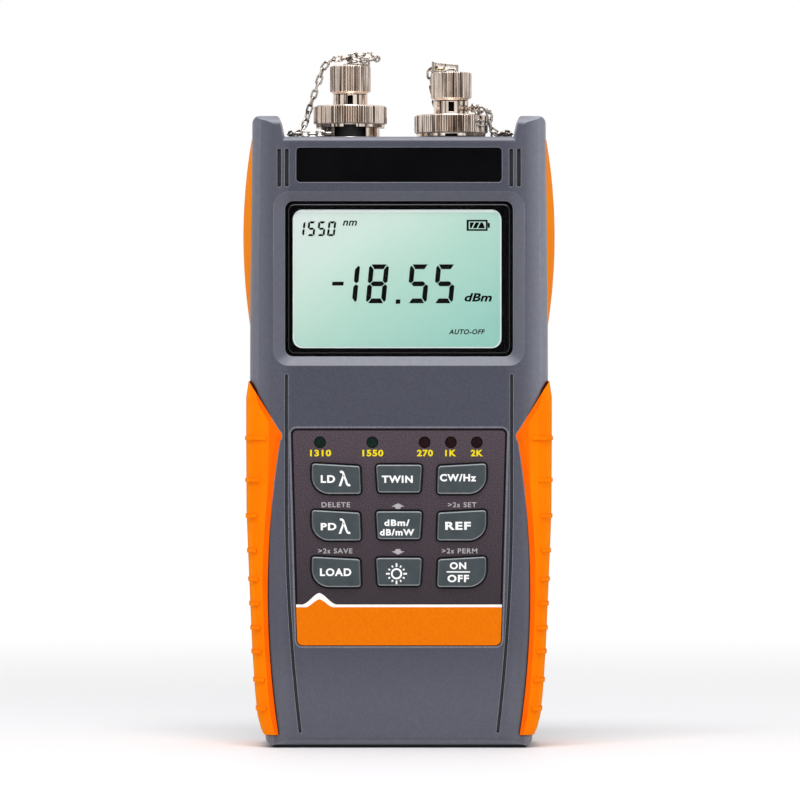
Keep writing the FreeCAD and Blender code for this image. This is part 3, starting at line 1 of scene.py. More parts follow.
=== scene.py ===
# %% [markdown]
# # Dressing a handheld optical power meter
#
# The meter's solid parts, its joints and its bodies come from an imported CAD
# model. This lesson dresses them: it gives every part a procedural finish,
# prints the lettering as thin layers of ink, draws the display's segments and
# links two real chains. Nothing here moves a CAD part. The model is loaded
# first, and the dressed model's box is measured at the end.

# %% Load the imported model
import math

import bmesh
import bpy
from mathutils import Matrix, Quaternion, Vector


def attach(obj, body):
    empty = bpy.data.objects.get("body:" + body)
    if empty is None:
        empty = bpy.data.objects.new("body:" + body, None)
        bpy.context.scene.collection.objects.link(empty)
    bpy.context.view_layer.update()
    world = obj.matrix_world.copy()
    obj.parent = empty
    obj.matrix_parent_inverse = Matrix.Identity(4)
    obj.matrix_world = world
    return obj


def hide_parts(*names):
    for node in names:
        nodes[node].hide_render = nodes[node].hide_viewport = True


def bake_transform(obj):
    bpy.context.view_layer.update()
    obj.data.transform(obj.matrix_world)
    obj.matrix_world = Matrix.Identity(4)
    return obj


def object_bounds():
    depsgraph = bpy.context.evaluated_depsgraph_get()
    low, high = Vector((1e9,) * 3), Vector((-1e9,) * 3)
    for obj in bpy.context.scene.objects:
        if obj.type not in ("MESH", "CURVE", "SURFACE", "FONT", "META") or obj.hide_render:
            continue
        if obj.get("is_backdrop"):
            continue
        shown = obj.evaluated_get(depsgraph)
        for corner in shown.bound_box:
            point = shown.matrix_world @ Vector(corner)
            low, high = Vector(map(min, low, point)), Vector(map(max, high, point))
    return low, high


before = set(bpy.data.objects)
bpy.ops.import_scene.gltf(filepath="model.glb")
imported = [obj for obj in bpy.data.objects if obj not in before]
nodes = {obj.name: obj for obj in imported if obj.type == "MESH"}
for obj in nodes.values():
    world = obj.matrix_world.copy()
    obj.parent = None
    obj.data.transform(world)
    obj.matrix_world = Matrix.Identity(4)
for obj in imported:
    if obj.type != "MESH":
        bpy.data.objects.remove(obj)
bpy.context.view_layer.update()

# %% [markdown]
# ## The camera
#
# A long lens from nearly a metre and a half gives the flat, almost parallel
# view of a catalogue. The camera stands level with the middle of the meter,
# so that the deck at the top and the foot at the bottom are both seen edge
# on. A shorter lens would show the tops of the ports.

# %% Place the camera
EYE_X, EYE_HEIGHT, EYE_DISTANCE = 0.00026, 0.0912, 1.45
FRONT_FACE_Y = -0.0156
SENSOR_WIDTH, LENS_LENGTH = 36.0, 249.0    # both in millimetres of the camera

camera_data = bpy.data.cameras.new("camera")
camera_data.sensor_width = SENSOR_WIDTH
camera_data.lens = LENS_LENGTH
camera_data.clip_start = 0.05
camera = bpy.data.objects.new("camera", camera_data)
bpy.context.scene.collection.objects.link(camera)
camera.location = (EYE_X, FRONT_FACE_Y - EYE_DISTANCE, EYE_HEIGHT)
camera.rotation_euler = (math.radians(90), 0, 0)
bpy.context.scene.camera = camera
bpy.context.scene.view_settings.view_transform = "Standard"
print("camera at", [round(v, 4) for v in camera.location])

# %% [markdown]
# ## Working in millimetres
#
# Blender measures in metres, and the parts of the meter are a few
# millimetres across. Two small helpers keep the numbers readable: one turns
# millimetres into metres, the other makes a mesh object from a bmesh and
# lets it ride on one of the CAD bodies.

# %% Helpers for new pieces
MM = 0.001


def mm(*values):
    """A point given in millimetres, as a vector in metres."""
    return Vector(values) * MM


def piece_from(bm, name, body=None, smooth=False):
    """Turns a bmesh, in millimetres, into a mesh object that rides on a body."""
    bmesh.ops.recalc_face_normals(bm, faces=bm.faces)
    mesh = bpy.data.meshes.new(name)
    bmesh.ops.scale(bm, vec=(MM, MM, MM), verts=bm.verts)
    bm.to_mesh(mesh)
    bm.free()
    for polygon in mesh.polygons:
        polygon.use_smooth = smooth
    piece = bpy.data.objects.new(name, mesh)
    bpy.context.scene.collection.objects.link(piece)
    if body:
        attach(piece, body)
    return piece


print("helpers ready")

# %% [markdown]
# ## The two chains
#
# Each dust cap hangs on a fine chain from a wire ring that lies round its
# port's neck. A chain could be an array modifier on a curve, but then every
# link would bend with the curve. Here a smooth curve is read at even steps
# and a stiff link is set at each, a quarter turn on from the one before, as
# in a real cable chain. The route's points are those of the CAD chain: from
# the strip on the cap, down beside the port and along the deck.

# %% Route of each chain, in millimetres
PORT_X = {"left": -12.9, "right": 13.8}
CAP_TOP = {"left": 179.55, "right": 177.85}
LINK_PITCH, LINK_LENGTH, LINK_WIDTH, LINK_WIRE = 2.0, 3.1, 1.85, 0.58
DECK_Z = 160.3
CHAIN_ON_DECK = DECK_Z + LINK_WIDTH / 2 + 0.15
CHAIN_ON_RING = 168.325
COIL_RADIUS = 1.75


def left_route():
    """From a loose heap on the cap, down beside the port, along the deck."""
    x, top, deck = PORT_X["left"], CAP_TOP["left"], CHAIN_ON_DECK
    return [
        (x + 3.7, 0.9, top + 1.75), (x + 1.9, 1.6, top + 1.8),
        (x - 0.4, 0.9, top + 1.95), (x + 0.3, -1.8, top + 1.9),
        (x + 3.0, -2.7, top + 1.5), (x + 5.9, -3.0, top + 1.6),
        (x + 7.1, -0.6, top + 2.3), (x + 4.6, -0.4, top + 3.0),
        (x + 1.8, -0.5, top + 2.9), (x - 1.2, -0.8, top + 2.2),
        (x - 4.8, -0.9, top + 1.6), (x - 7.0, -0.8, top - 0.3),
        (x - 8.2, -0.7, top - 3.6), (x - 9.6, -0.7, top - 7.6),
        (x - 11.1, -0.7, top - 12.2), (x - 11.9, -1.4, deck + 3.2),
        (x - 13.4, -2.6, deck + 0.6), (x - 15.6, -4.4, deck),
        (x - 15.2, -6.6, deck), (x - 12.0, -7.5, deck),
        (x - 8.6, -7.8, deck), (x - 4.9, -8.6, deck),
    ]


def right_route():
    """Behind the cap, round the ring, in a coil to the deck and along it."""
    x, top, deck, ring = PORT_X["right"], CAP_TOP["right"], CHAIN_ON_DECK, CHAIN_ON_RING
    coil = []
    for angle in range(60, 580, 50):
        a = math.radians(angle)
        coil.append((
            x + 8.3 - COIL_RADIUS * math.cos(a),
            -9.6 - 2.2 * angle / 560,
            ring - 2.6 + COIL_RADIUS * math.sin(a),
        ))
    return [
        (x - 2.0, 2.6, top + 1.6), (x - 4.2, 3.4, top + 1.6),
        (x - 5.5, 4.5, top + 0.5), (x - 5.3, 4.7, top - 1.6),
        (x - 4.8, 5.1, top - 4.6), (x - 4.2, 5.5, top - 7.6),
        (x - 3.2, 5.6, ring + 0.3), (x + 0.8, 6.3, ring),
        (x + 4.8, 4.2, ring), (x + 6.2, 0.2, ring),
        (x + 5.6, -3.6, ring + 0.2), (x + 6.2, -6.8, ring + 0.1),
        (x + 6.8, -8.6, ring - 0.2),
    ] + coil + [
        (x + 10.3, -11.6, deck + 1.5), (x + 11.6, -11.2, deck + 0.1),
        (x + 14.0, -9.8, deck), (x + 15.3, -7.4, deck),
        (x + 15.2, -4.4, deck), (x + 13.4, -2.0, deck),
        (x + 12.2, 0.6, deck), (x + 10.9, 2.4, deck),
    ]


print("route points:", len(left_route()), "and", len(right_route()))

# %% [markdown]
# ## Reading a curve
#
# Blender's curve with automatic handles passes smoothly through every point.
# A curve with no bevel, made into a mesh, gives a row of vertices along it,
# and walking along that row at even distances says where each link sits and
# which way it lies.


# %% Even steps along a smooth route
def smooth_line(points):
    """Closely spaced points along a smooth curve through the given ones."""
    curve = bpy.data.curves.new("route", "CURVE")
    curve.dimensions = "3D"
    curve.resolution_u = 24
    spline = curve.splines.new("BEZIER")
    spline.bezier_points.add(len(points) - 1)
    for knot, point in zip(spline.bezier_points, points):
        knot.co = point
        knot.handle_left_type = knot.handle_right_type = "AUTO"
    holder = bpy.data.objects.new("route", curve)
    bpy.context.scene.collection.objects.link(holder)
    bpy.context.view_layer.update()
    mesh = bpy.data.meshes.new_from_object(holder)
    line = [v.co.copy() for v in mesh.vertices]
    bpy.data.objects.remove(holder)
    bpy.data.curves.remove(curve)
    bpy.data.meshes.remove(mesh)
    return line


def steps_along(line, pitch):
    """(place, direction) at even distances, half a step in from each end."""
    runs = [(b - a).length for a, b in zip(line, line[1:])]
    count = int(sum(runs) / pitch)
    step = sum(runs) / count
    found, walked, i = [], 0.0, 0
    for n in range(count):
        target = (n + 0.5) * step
        while walked + runs[i] < target:
            walked += runs[i]
            i += 1
        along = (line[i + 1] - line[i]).normalized()
        found.append((line[i] + along * (target - walked), along))
    return found


for side, route in (("left", left_route()), ("right", right_route())):
    print(side, "chain:", len(steps_along(smooth_line(route), LINK_PITCH)), "links")

# %% [markdown]
# ## One link
#
# A link is a wire bent into a racetrack: two straight sides and two half
# circles. Its section is swept round that path by hand, because a sweep in
# code gives clean quads of a known number. Seventy such links come to about
# ten thousand faces, light enough to keep as real geometry.


# %% Sweep a closed loop of wire
def sweep_loop(bm, path, wire_radius, sides=8):
    """A closed tube round a loop of points, welded at its start."""
    count = len(path)
    rings = []
    normal = (path[1] - path[0]).cross(path[2] - path[1]).normalized()
    for i, place in enumerate(path):
        along = (path[(i + 1) % count] - path[i - 1]).normalized()
        out = along.cross(normal).normalized()
        up = out.cross(along).normalized()
        ring = []
        for k in range(sides):
            a = 2 * math.pi * k / sides
            offset = out * math.cos(a) + up * math.sin(a)
            ring.append(bm.verts.new(place + offset * wire_radius))
        rings.append(ring)
    for i in range(count):
        a, b = rings[i], rings[(i + 1) % count]
        for k in range(sides):
            bm.faces.new((a[k], a[(k + 1) % sides], b[(k + 1) % sides], b[k]))


def link_path():
    """The racetrack of one link's wire, long way along X, in millimetres."""
    r = (LINK_WIDTH - LINK_WIRE) / 2
    half = (LINK_LENGTH - LINK_WIRE) / 2 - r
    path = []
    for centre, start in ((half, -90), (-half, 90)):
        for k in range(9):
            a = math.radians(start + 22.5 * k)
            path.append(Vector((centre + r * math.cos(a), r * math.sin(a), 0)))
    return path


def circle_path(centre, radius, count):
    """A level ring of points for a round loop."""
    middle = Vector(centre)
    angles = [2 * math.pi * k / count for k in range(count)]
    return [middle + Vector((radius * math.cos(a), radius * math.sin(a), 0)) for a in angles]


print("points round a link:", len(link_path()))

# %% [markdown]
# ## Linking them up
#
# Each link is turned to lie along the route and rolled by a quarter turn
# from its neighbour, give or take the few degrees by which a slack chain
# sways. The wire ring round the port's neck belongs to the same mesh.

# %% Make both chains
COLLAR_RADIUS, COLLAR_WIRE = 8.375, 0.35
SWAY = 14    # degrees


def make_chain(side, route):
    """Links along a route, and the wire ring round the port's neck."""
    bm = bmesh.new()
    pattern = link_path()
    for i, (place, along) in enumerate(steps_along(smooth_line(route), LINK_PITCH)):
        across = along.cross(Vector((0, 0, 1)))
        if across.length < 0.2:    # the link hangs nearly upright
            across = Vector((0, 1, 0))
        across.normalize()
        up = across.cross(along).normalized()
        across = up.cross(along)
        quarter = i if side == "left" else i + 1
        roll = Quaternion(along, math.radians(90 * (quarter % 2) + SWAY * math.sin(1.7 * i)))
        turn = roll.to_matrix() @ Matrix((along, across, up)).transposed()
        sweep_loop(bm, [place + turn @ p for p in pattern], LINK_WIRE / 2)
    collar = (PORT_X[side], 0, DECK_Z + 0.2)
    sweep_loop(bm, circle_path(collar, COLLAR_RADIUS, 64), COLLAR_WIRE / 2)
    chain = piece_from(bm, side + "_chain_links", smooth=True)
    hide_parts(side + "_chain")
    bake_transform(chain)
    return chain


chains = [
    make_chain("left", left_route()),
    make_chain("right", right_route()),
]
for chain in chains:
    print(chain.name, len(chain.data.polygons), "faces")

# %% [markdown]
# ## Colours and materials
#
# A shader socket wants linear light, but colours are easiest to judge as
# display values from 0 to 255, so one helper converts them. Every solid
# finish is a Principled shader. What is the same all over a surface, such as
# its roughness, is set on the shader's own socket.


# %% A colour, a finish and a node
def paint(red, green_and_painted_light, blue):
    """A display colour, 0 to 255, as the linear colour a shader takes."""
    def linear(value):
        value /= 255
        return value / 12.92 if value <= 0.04045 else ((value + 0.055) / 1.055) ** 2.4

    return (linear(red), linear(green_and_painted_light), linear(blue), 1.0)


def new_finish(name, colour, roughness, metallic=0.0, specular=0.5):
    """(material, its node tree, its Principled shader)."""
    material = bpy.data.materials.new(name)
    material.use_nodes = True
    shader = material.node_tree.nodes["Principled BSDF"]
    shader.inputs["Base Color"].default_value = paint(*colour)
    shader.inputs["Roughness"].default_value = roughness
    shader.inputs["Metallic"].default_value = metallic
    shader.inputs["Specular IOR Level"].default_value = specular
    return material, material.node_tree, shader


def put(tree, kind, **values):
    """Adds a node and sets its sockets by name, with _ for a space."""
    node = tree.nodes.new("ShaderNode" + kind)
    for name, value in values.items():
        node.inputs[name.replace("_", " ")].default_value = value
    return node


print("display grey 128 is", round(paint(128, 128, 128)[0], 3), "in linear light")

# %% [markdown]
# ## Noise that stays on the part
#
# Colour and relief come from procedural noise. Image textures would need
# files, and generated noise holds its detail at any distance. It is read
# from the part's own coordinates, turned into millimetres, so that it moves
# with the part. The direction that a surface faces is read in the part's own
# axes too, for wear that depends on it.


# %% Coordinates, noise and ramps
def place_on_part(tree, stretch=(1, 1, 1)):
    """The part's own coordinates in millimetres."""
    where = put(tree, "TexCoord")
    scaled = put(tree, "Mapping", Scale=[1000 * s for s in stretch])
    tree.links.new(where.outputs["Object"], scaled.inputs["Vector"])
    return scaled.outputs["Vector"]


def split_place(tree):
    """The part's own X, Y and Z in millimetres, as three outputs."""
    split = put(tree, "SeparateXYZ")
    tree.links.new(place_on_part(tree), split.inputs["Vector"])
    return split.outputs


def split_facing(tree):
    """Which way the surface faces in the part's own axes, as three outputs."""
    split = put(tree, "SeparateXYZ")
    tree.links.new(put(tree, "TexCoord").outputs["Normal"], split.inputs["Vector"])
    return split.outputs


def grain(tree, size, detail=2.0, stretch=(1, 1, 1)):
    """Noise with blobs about size millimetres across."""
    noise = put(tree, "TexNoise", Scale=1.0 / size, Detail=detail, Roughness=0.55)
    tree.links.new(place_on_part(tree, stretch), noise.inputs["Vector"])
    return noise.outputs["Fac"]


def ramp(tree, value, *stops):
    """A colour from a value; each stop is (position, (red, green, blue))."""
    node = tree.nodes.new("ShaderNodeValToRGB")
    elements = node.color_ramp.elements
    while len(elements) < len(stops):
        elements.new(0.5)
    for element, (position, colour) in zip(elements, stops):
        element.position = position
        element.color = paint(*colour)
    tree.links.new(value, node.inputs["Fac"])
    return node.outputs["Color"]


def mottle(tree, size, darker, lighter, detail=2.0):
    """Two tones in soft blobs about size millimetres across."""
    return ramp(tree, grain(tree, size, detail), (0.3, darker), (0.7, lighter))


print("noise helpers ready")

# %% [markdown]
# ## Mixing and measuring
#
# Wear, dirt and shadow are laid over a base colour by a factor from 0 to 1.
# The factor is worked out with single steps of arithmetic, and a smooth step
# between two values gives it soft borders, as real wear has.


# %% Mixing and arithmetic
def mix_colour(tree, factor, first, second, blend="MIX"):
    """Mixes two colour outputs by a factor, which is an output or a number."""
    node = tree.nodes.new("ShaderNodeMix")
    node.data_type = "RGBA"
    node.blend_type = blend
    for index, value in ((0, factor), (6, first), (7, second)):
        socket = node.inputs[index]
        if isinstance(value, (int, float, tuple)):
            socket.default_value = value
        else:
            tree.links.new(value, socket)
    return node.outputs[2]


def math_node(tree, operation, first, second=0.0, third=0.0):
    """One step of arithmetic on outputs or numbers."""
    node = tree.nodes.new("ShaderNodeMath")
    node.operation = operation
    for socket, value in zip(node.inputs, (first, second, third)):
        if isinstance(value, (int, float)):
            socket.default_value = value
        else:
            tree.links.new(value, socket)
    return node.outputs[0]


def between(tree, value, low, high):
    """0 below low, 1 above high, and smooth in between."""
    node = tree.nodes.new("ShaderNodeMapRange")
    node.interpolation_type = "SMOOTHSTEP"
    tree.links.new(value, node.inputs["Value"])
    node.inputs["From Min"].default_value = low
    node.inputs["From Max"].default_value = high
    return node.outputs["Result"]


print("mixing helpers ready")

# %% [markdown]
# ## Relief, and putting a finish on
#
# Fine bumps break up a shine. A Bevel node behind them rounds the shading of
# sharp CAD edges, so that they catch the light without one face more. A CAD
# part takes its finish by name, and a new piece is given its material directly.


# %% Relief and dressing
def relief(tree, shader, height, depth, rounding=0.0):
    """Bumps depth millimetres high, on edges rounded by rounding millimetres."""
    bump = put(tree, "Bump", Strength=1.0, Distance=depth * MM)
    tree.links.new(height, bump.inputs["Height"])
    if rounding:
        edge = put(tree, "Bevel", Radius=rounding * MM)
        edge.samples = 4
        tree.links.new(edge.outputs["Normal"], bump.inputs["Normal"])
    tree.links.new(bump.outputs["Normal"], shader.inputs["Normal"])


def colour_from(tree, shader, output):
    """Lets an output paint the surface."""
    tree.links.new(output, shader.inputs["Base Color"])


def dress(material, *names):
    """Gives a material to CAD nodes by name."""
    for name in names:
        mesh = nodes[name].data
        mesh.materials.clear()
        mesh.materials.append(material)


def coat_piece(piece, material):
    """Gives a new piece its material."""
    piece.data.materials.clear()
    piece.data.materials.append(material)


print("finish helpers ready")

# %% [markdown]
# ## The sky
#
# The meter stands in plain, even light. The sky shows white to the eye, to
# gloss and through clear parts, but casts less than that on the meter, so
# that a colour shows as it was chosen. The Light Path node tells the rays
# apart.


# %% An even sky
SKY_STRENGTH = 0.55


def eye_sees(tree):
    """1 for what the camera, a reflection or a clear part shows, else 0."""
    path = put(tree, "LightPath")
    seen = math_node(tree, "MAXIMUM", path.outputs["Is Camera Ray"], path.outputs["Is Glossy Ray"])
    return math_node(tree, "MAXIMUM", seen, path.outputs["Is Transmission Ray"])


world = bpy.data.worlds.new("even_sky")
bpy.context.scene.world = world
world.use_nodes = True
sky = world.node_tree
even = sky.nodes["Background"]
even.inputs["Color"].default_value = (1, 1, 1, 1)
even.inputs["Strength"].default_value = SKY_STRENGTH
shown = put(sky, "Background", Color=(1, 1, 1, 1), Strength=1.0)
choose = sky.nodes.new("ShaderNodeMixShader")
sky.links.new(eye_sees(sky), choose.inputs["Fac"])
sky.links.new(even.outputs["Background"], choose.inputs[1])
sky.links.new(shown.outputs["Background"], choose.inputs[2])
sky.links.new(choose.outputs["Shader"], sky.nodes["World Output"].inputs["Surface"])
print("sky strength:", SKY_STRENGTH)

# %% [markdown]
# ## The floor
#
# A pale floor keeps the meter's shadow. Away from the meter it fades to
# white, by a mix with plain white emission that only the eye, gloss and
# clear parts see. Floor and flags are marked as stage, so they are no part
# of the meter.


# %% A pale floor
def flat_board(name, corners):
    """A four-cornered board, in metres, that is only part of the studio."""
    mesh = bpy.data.meshes.new(name)
    mesh.from_pydata(corners, [], [(0, 1, 2, 3)])
    board = bpy.data.objects.new(name, mesh)
    bpy.context.scene.collection.objects.link(board)
    board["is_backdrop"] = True
    return board


FLOOR_REACH = 12    # metres from the middle
WHITE_FROM, WHITE_AT = 0.08, 0.7
floor = flat_board("floor", [
    (-FLOOR_REACH, -FLOOR_REACH, 0), (FLOOR_REACH, -FLOOR_REACH, 0),
    (FLOOR_REACH, FLOOR_REACH, 0), (-FLOOR_REACH, FLOOR_REACH, 0),
])
floor_finish, tree, shader = new_finish("pale_floor", (232, 232, 234), 0.6, specular=0.2)
colour_from(tree, shader, mottle(tree, 900.0, (228, 228, 230), (236, 236, 238)))
away = put(tree, "VectorMath")
away.operation = "LENGTH"
tree.links.new(put(tree, "TexCoord").outputs["Object"], away.inputs[0])
far_off = between(tree, away.outputs["Value"], WHITE_FROM, WHITE_AT)
fade = math_node(tree, "MULTIPLY", far_off, eye_sees(tree))
white = put(tree, "Emission", Color=(1, 1, 1, 1), Strength=1.0)
join = tree.nodes.new("ShaderNodeMixShader")
tree.links.new(fade, join.inputs["Fac"])
tree.links.new(shader.outputs["BSDF"], join.inputs[1])
tree.links.new(white.outputs["Emission"], join.inputs[2])
tree.links.new(join.outputs["Shader"], tree.nodes["Material Output"].inputs["Surface"])
floor.data.materials.append(floor_finish)
print("floor fades to white between", WHITE_FROM, "and", WHITE_AT, "metres")

# %% [markdown]
# ## The lamps
#
# Three soft lamps are enough. The key lamp stands high in front, so that
# slopes facing up are lit and those facing down stay dark. A broad fill from
# beside the camera softens the front and gives no highlight of its own. A
# small lamp overhead lights the tops of the guards and the ports.


# %% Soft lamps
def soft_lamp(name, place, aim, width, height, power):
    """A rectangular lamp that points from place at aim, all in metres."""
    data = bpy.data.lights.new(name, "AREA")
    data.shape = "RECTANGLE"
    data.size, data.size_y, data.energy = width, height, power
    lamp = bpy.data.objects.new(name, data)
    bpy.context.scene.collection.objects.link(lamp)
    lamp.location = place
    lamp.rotation_euler = (Vector(aim) - Vector(place)).to_track_quat("-Z", "Y").to_euler()
    lamp.visible_camera = False
    return lamp


soft_lamp("key_lamp", (-0.06, -0.41, 1.0), (0, 0, 0.1), 0.6, 0.3, 7.0)
fill_lamp = soft_lamp("fill_lamp", (0.3, -1.6, 0.7), (0, 0, 0.09), 0.8, 0.8, 5.4)
fill_lamp.visible_glossy = False
soft_lamp("top_lamp", (0.0, 0.05, 1.1), (0, 0, 0.15), 0.3, 0.3, 1.2)

# %% [markdown]
# ## Dark flags
#
# Bright nickel shows whatever stands round it, and in an all-white room it
# would look like white paint. Four dark boards, two in front and one at each
# side, give it something to reflect. They are hidden from the camera and
# cast no soft light, so only gloss sees them.

# %% Flags
flag_finish, tree, shader = new_finish("dark_flag", (8, 8, 9), 0.9)
colour_from(tree, shader, mottle(tree, 40.0, (7, 7, 8), (10, 10, 11)))
FLAG_DISTANCE, FLAG_HEIGHT = 2.2, 1.4
for name, low_angle, high_angle in (
    ("left_flag", -42, -34), ("right_flag", 48, 60),
    ("side_flag_left", -88, -70), ("side_flag_right", 80, 98),
):
    edge = [
        (FLAG_DISTANCE * math.sin(math.radians(a)), -FLAG_DISTANCE * math.cos(math.radians(a)))
        for a in (low_angle, high_angle)
    ]
    flag = flat_board(name, [
        (*edge[0], 0.0), (*edge[1], 0.0), (*edge[1], FLAG_HEIGHT), (*edge[0], FLAG_HEIGHT),
    ])
    flag.visible_camera = False
    flag.visible_diffuse = False
    flag.data.materials.append(flag_finish)
print("flags:", 4)

# %% [markdown]
# ## The case
#
# The shells and the battery lid are moulded in grey-blue plastic with a fine
# spark-eroded texture. A paler tone is painted light on it: beside the front
# panel, at the corners, towards the foot, on slopes, on the right flank and on
# what faces up, where the lamps would brighten it. Each place is a smooth step
# in the part's own coordinates, and their sum says how far the painted light shows.

# %% Moulded case plastic
case_finish, tree, shader = new_finish("moulded_case_plastic", (66, 68, 80), 0.4, specular=0.4)
tone = mottle(tree, 28.0, (64, 66, 80), (67, 69, 83), 3.0)
fleck = ramp(tree, grain(tree, 0.35, 3.0), (0.35, (218, 218, 218)), (0.65, (255, 255, 255)))
plastic = mix_colour(tree, 1.0, tone, fleck, "MULTIPLY")
pale = mottle(tree, 1.5, (164, 166, 177), (176, 178, 189))

facing, place = split_facing(tree), split_place(tree)
outward = math_node(tree, "ABSOLUTE", place["X"])
flatness = math_node(tree, "ABSOLUTE", facing["Y"])
# Painted light: where the lamps would brighten the case, a paler tone is mixed in.
painted_light_places = (
    (outward, 27.5, 31.0, 0.05),         # the strips beside the front panel
    (outward, 32.0, 38.0, 0.12),         # the corners
    (place["Z"], 34.0, 10.0, 0.09),      # the foot
    (flatness, 0.97, 0.92, 0.10),        # slopes
    (place["X"], 31.0, 39.0, 0.2),       # the right flank
    (facing["Z"], 0.2, 0.38, 0.18),      # what faces up
)
shares = [
    math_node(tree, "MULTIPLY", between(tree, value, low, high), amount)
    for value, low, high, amount in painted_light_places
]
painted_light = shares[0]
for share in shares[1:]:
    painted_light = math_node(tree, "ADD", painted_light, share)
plastic = mix_colour(tree, painted_light, plastic, pale)
print("places where the case is paler:", len(shares))

# %% [markdown]
# ## Painted edge highlights and painted shade in seams
#
# A Bevel node gives the direction of an edge as if it were rounded. Where
# that differs from the flat face's own direction there is an edge, and one
# that stands proud gets a painted highlight in the pale tone. Ambient occlusion
# finds the opposite, the seams, grooves and recesses, which get painted shade.
# Both come from the shape itself, so no mask has to be drawn.

# %% Edges, seams and texture of the case
edge = put(tree, "Bevel", Radius=0.32 * MM)
edge.samples = 6
bend = tree.nodes.new("ShaderNodeVectorMath")
bend.operation = "DOT_PRODUCT"
tree.links.new(edge.outputs["Normal"], bend.inputs[0])
tree.links.new(put(tree, "NewGeometry").outputs["Normal"], bend.inputs[1])
deep = put(tree, "AmbientOcclusion", Distance=1.2 * MM)
deep.samples = 8
at_edge = between(tree, bend.outputs["Value"], 0.995, 0.93)
proud = between(tree, deep.outputs["AO"], 0.6, 0.8)
# Painted highlight along proud edges.
painted_edge_highlight = math_node(tree, "MULTIPLY", math_node(tree, "MULTIPLY", at_edge, proud), 0.6)
plastic = mix_colour(tree, painted_edge_highlight, plastic, pale)
# Painted shade: seams, grooves and recesses darken towards near black.
open_air = between(tree, deep.outputs["AO"], 0.5, 0.86)
colour_from(tree, shader, mix_colour(tree, open_air, paint(7, 8, 10), plastic))
relief(tree, shader, grain(tree, 0.22, 2.0), 0.012, rounding=0.3)
dress(case_finish, "front_shell", "rear_shell", "battery_door")
print("case parts dressed:", 3)

# %% [markdown]
# ## The grips
#
# The two side grips are soft orange rubber, moulded over the case. Rubber
# has a broad, gentle shine and a slightly uneven colour. Its flanks are
# painted lighter than its front as painted light, and its inward-facing side
# is painted darker as painted shade. A low, wide sheen would turn it to felt,
# so the softness comes from roughness and fine bumps alone.

# %% Grip rubber
grip_finish, tree, shader = new_finish("orange_grip_rubber", (252, 124, 0), 0.6, specular=0.04)
tone = mottle(tree, 16.0, (250, 119, 0), (255, 127, 0))
# Painted light on the outward-facing flanks.
painted_light_flank = mottle(tree, 16.0, (255, 136, 2), (255, 144, 6))
shade = mottle(tree, 9.0, (242, 92, 0), (248, 102, 0))
facing, place = split_facing(tree), split_place(tree)
outward = math_node(tree, "MULTIPLY", math_node(tree, "SIGN", place["X"]), facing["X"])
tone = mix_colour(tree, between(tree, outward, 0.6, 0.9), tone, painted_light_flank)
# Painted shade on the inward-facing side.
painted_shade_inner_side = between(tree, outward, -0.08, -0.22)
print("grip tones:", 3)

# %% [markdown]
# ## Painted shade along the grips' border
#
# Where the rubber dips towards the case it is painted a deeper orange, as
# painted shade. On the lower pad that makes a band along the inner side of
# the front. Its line bends in and out with the waist of the meter, so a Float
# Curve holds how far out it lies at each height.

# %% Border band and texture of the grips
BAND_LINE = (    # (height, distance from the middle), in millimetres
    (4, 31.6), (10, 32.5), (23, 34.3), (37, 35.0),
    (50, 34.8), (63, 34.5), (82, 34.1), (98, 33.9),
)
LINE_START, LINE_REACH = 30.0, 10.0    # what the curve's 0 to 1 stand for
width = tree.nodes.new("ShaderNodeFloatCurve")
line = width.mapping.curves[0]
while len(line.points) < len(BAND_LINE):
    line.points.new(0.5, 0.5)
for point, (z, x) in zip(line.points, BAND_LINE):
    point.location = (z / 100, (x - LINE_START) / LINE_REACH)
width.mapping.update()
tree.links.new(math_node(tree, "MULTIPLY", place["Z"], 0.01), width.inputs["Value"])
band_edge = math_node(tree, "MULTIPLY_ADD", width.outputs["Value"], LINE_REACH, LINE_START)
past_edge = math_node(tree, "SUBTRACT", math_node(tree, "ABSOLUTE", place["X"]), band_edge)
lower_pad = between(tree, place["Z"], 99.0, 97.0)
front = math_node(tree, "MULTIPLY", between(tree, place["Y"], -14.0, -14.6), lower_pad)
band = math_node(tree, "MULTIPLY", between(tree, past_edge, 0.35, -0.35), front)
# Painted shade: the inward side and the band take the deeper orange.
painted_shade_border = math_node(tree, "MAXIMUM", painted_shade_inner_side, math_node(tree, "MULTIPLY", band, 0.85))
colour_from(tree, shader, mix_colour(tree, painted_shade_border, tone, shade))
relief(tree, shader, grain(tree, 0.3, 3.0), 0.015, rounding=0.3)
dress(grip_finish, "left_grip", "right_grip")
print("grips dressed:", 2)

# %% [markdown]
# ## Black plate and display mask
#
# The name plate is a strip of black lacquered metal let into the front, left
# blank. The mask behind the window is printed black. Both are smooth and
# faintly wavy. Their specular level is kept very low, because a black face
# in a white room would look grey otherwise.

# %% Black gloss
black_finish, tree, shader = new_finish("black_gloss", (8, 8, 10), 0.16, specular=0.02)
colour_from(tree, shader, mottle(tree, 9.0, (6, 6, 8), (10, 9, 11)))
relief(tree, shader, grain(tree, 6.0), 0.01, rounding=0.15)
dress(black_finish, "name_plate", "display_mask")
print("black parts dressed:", 2)
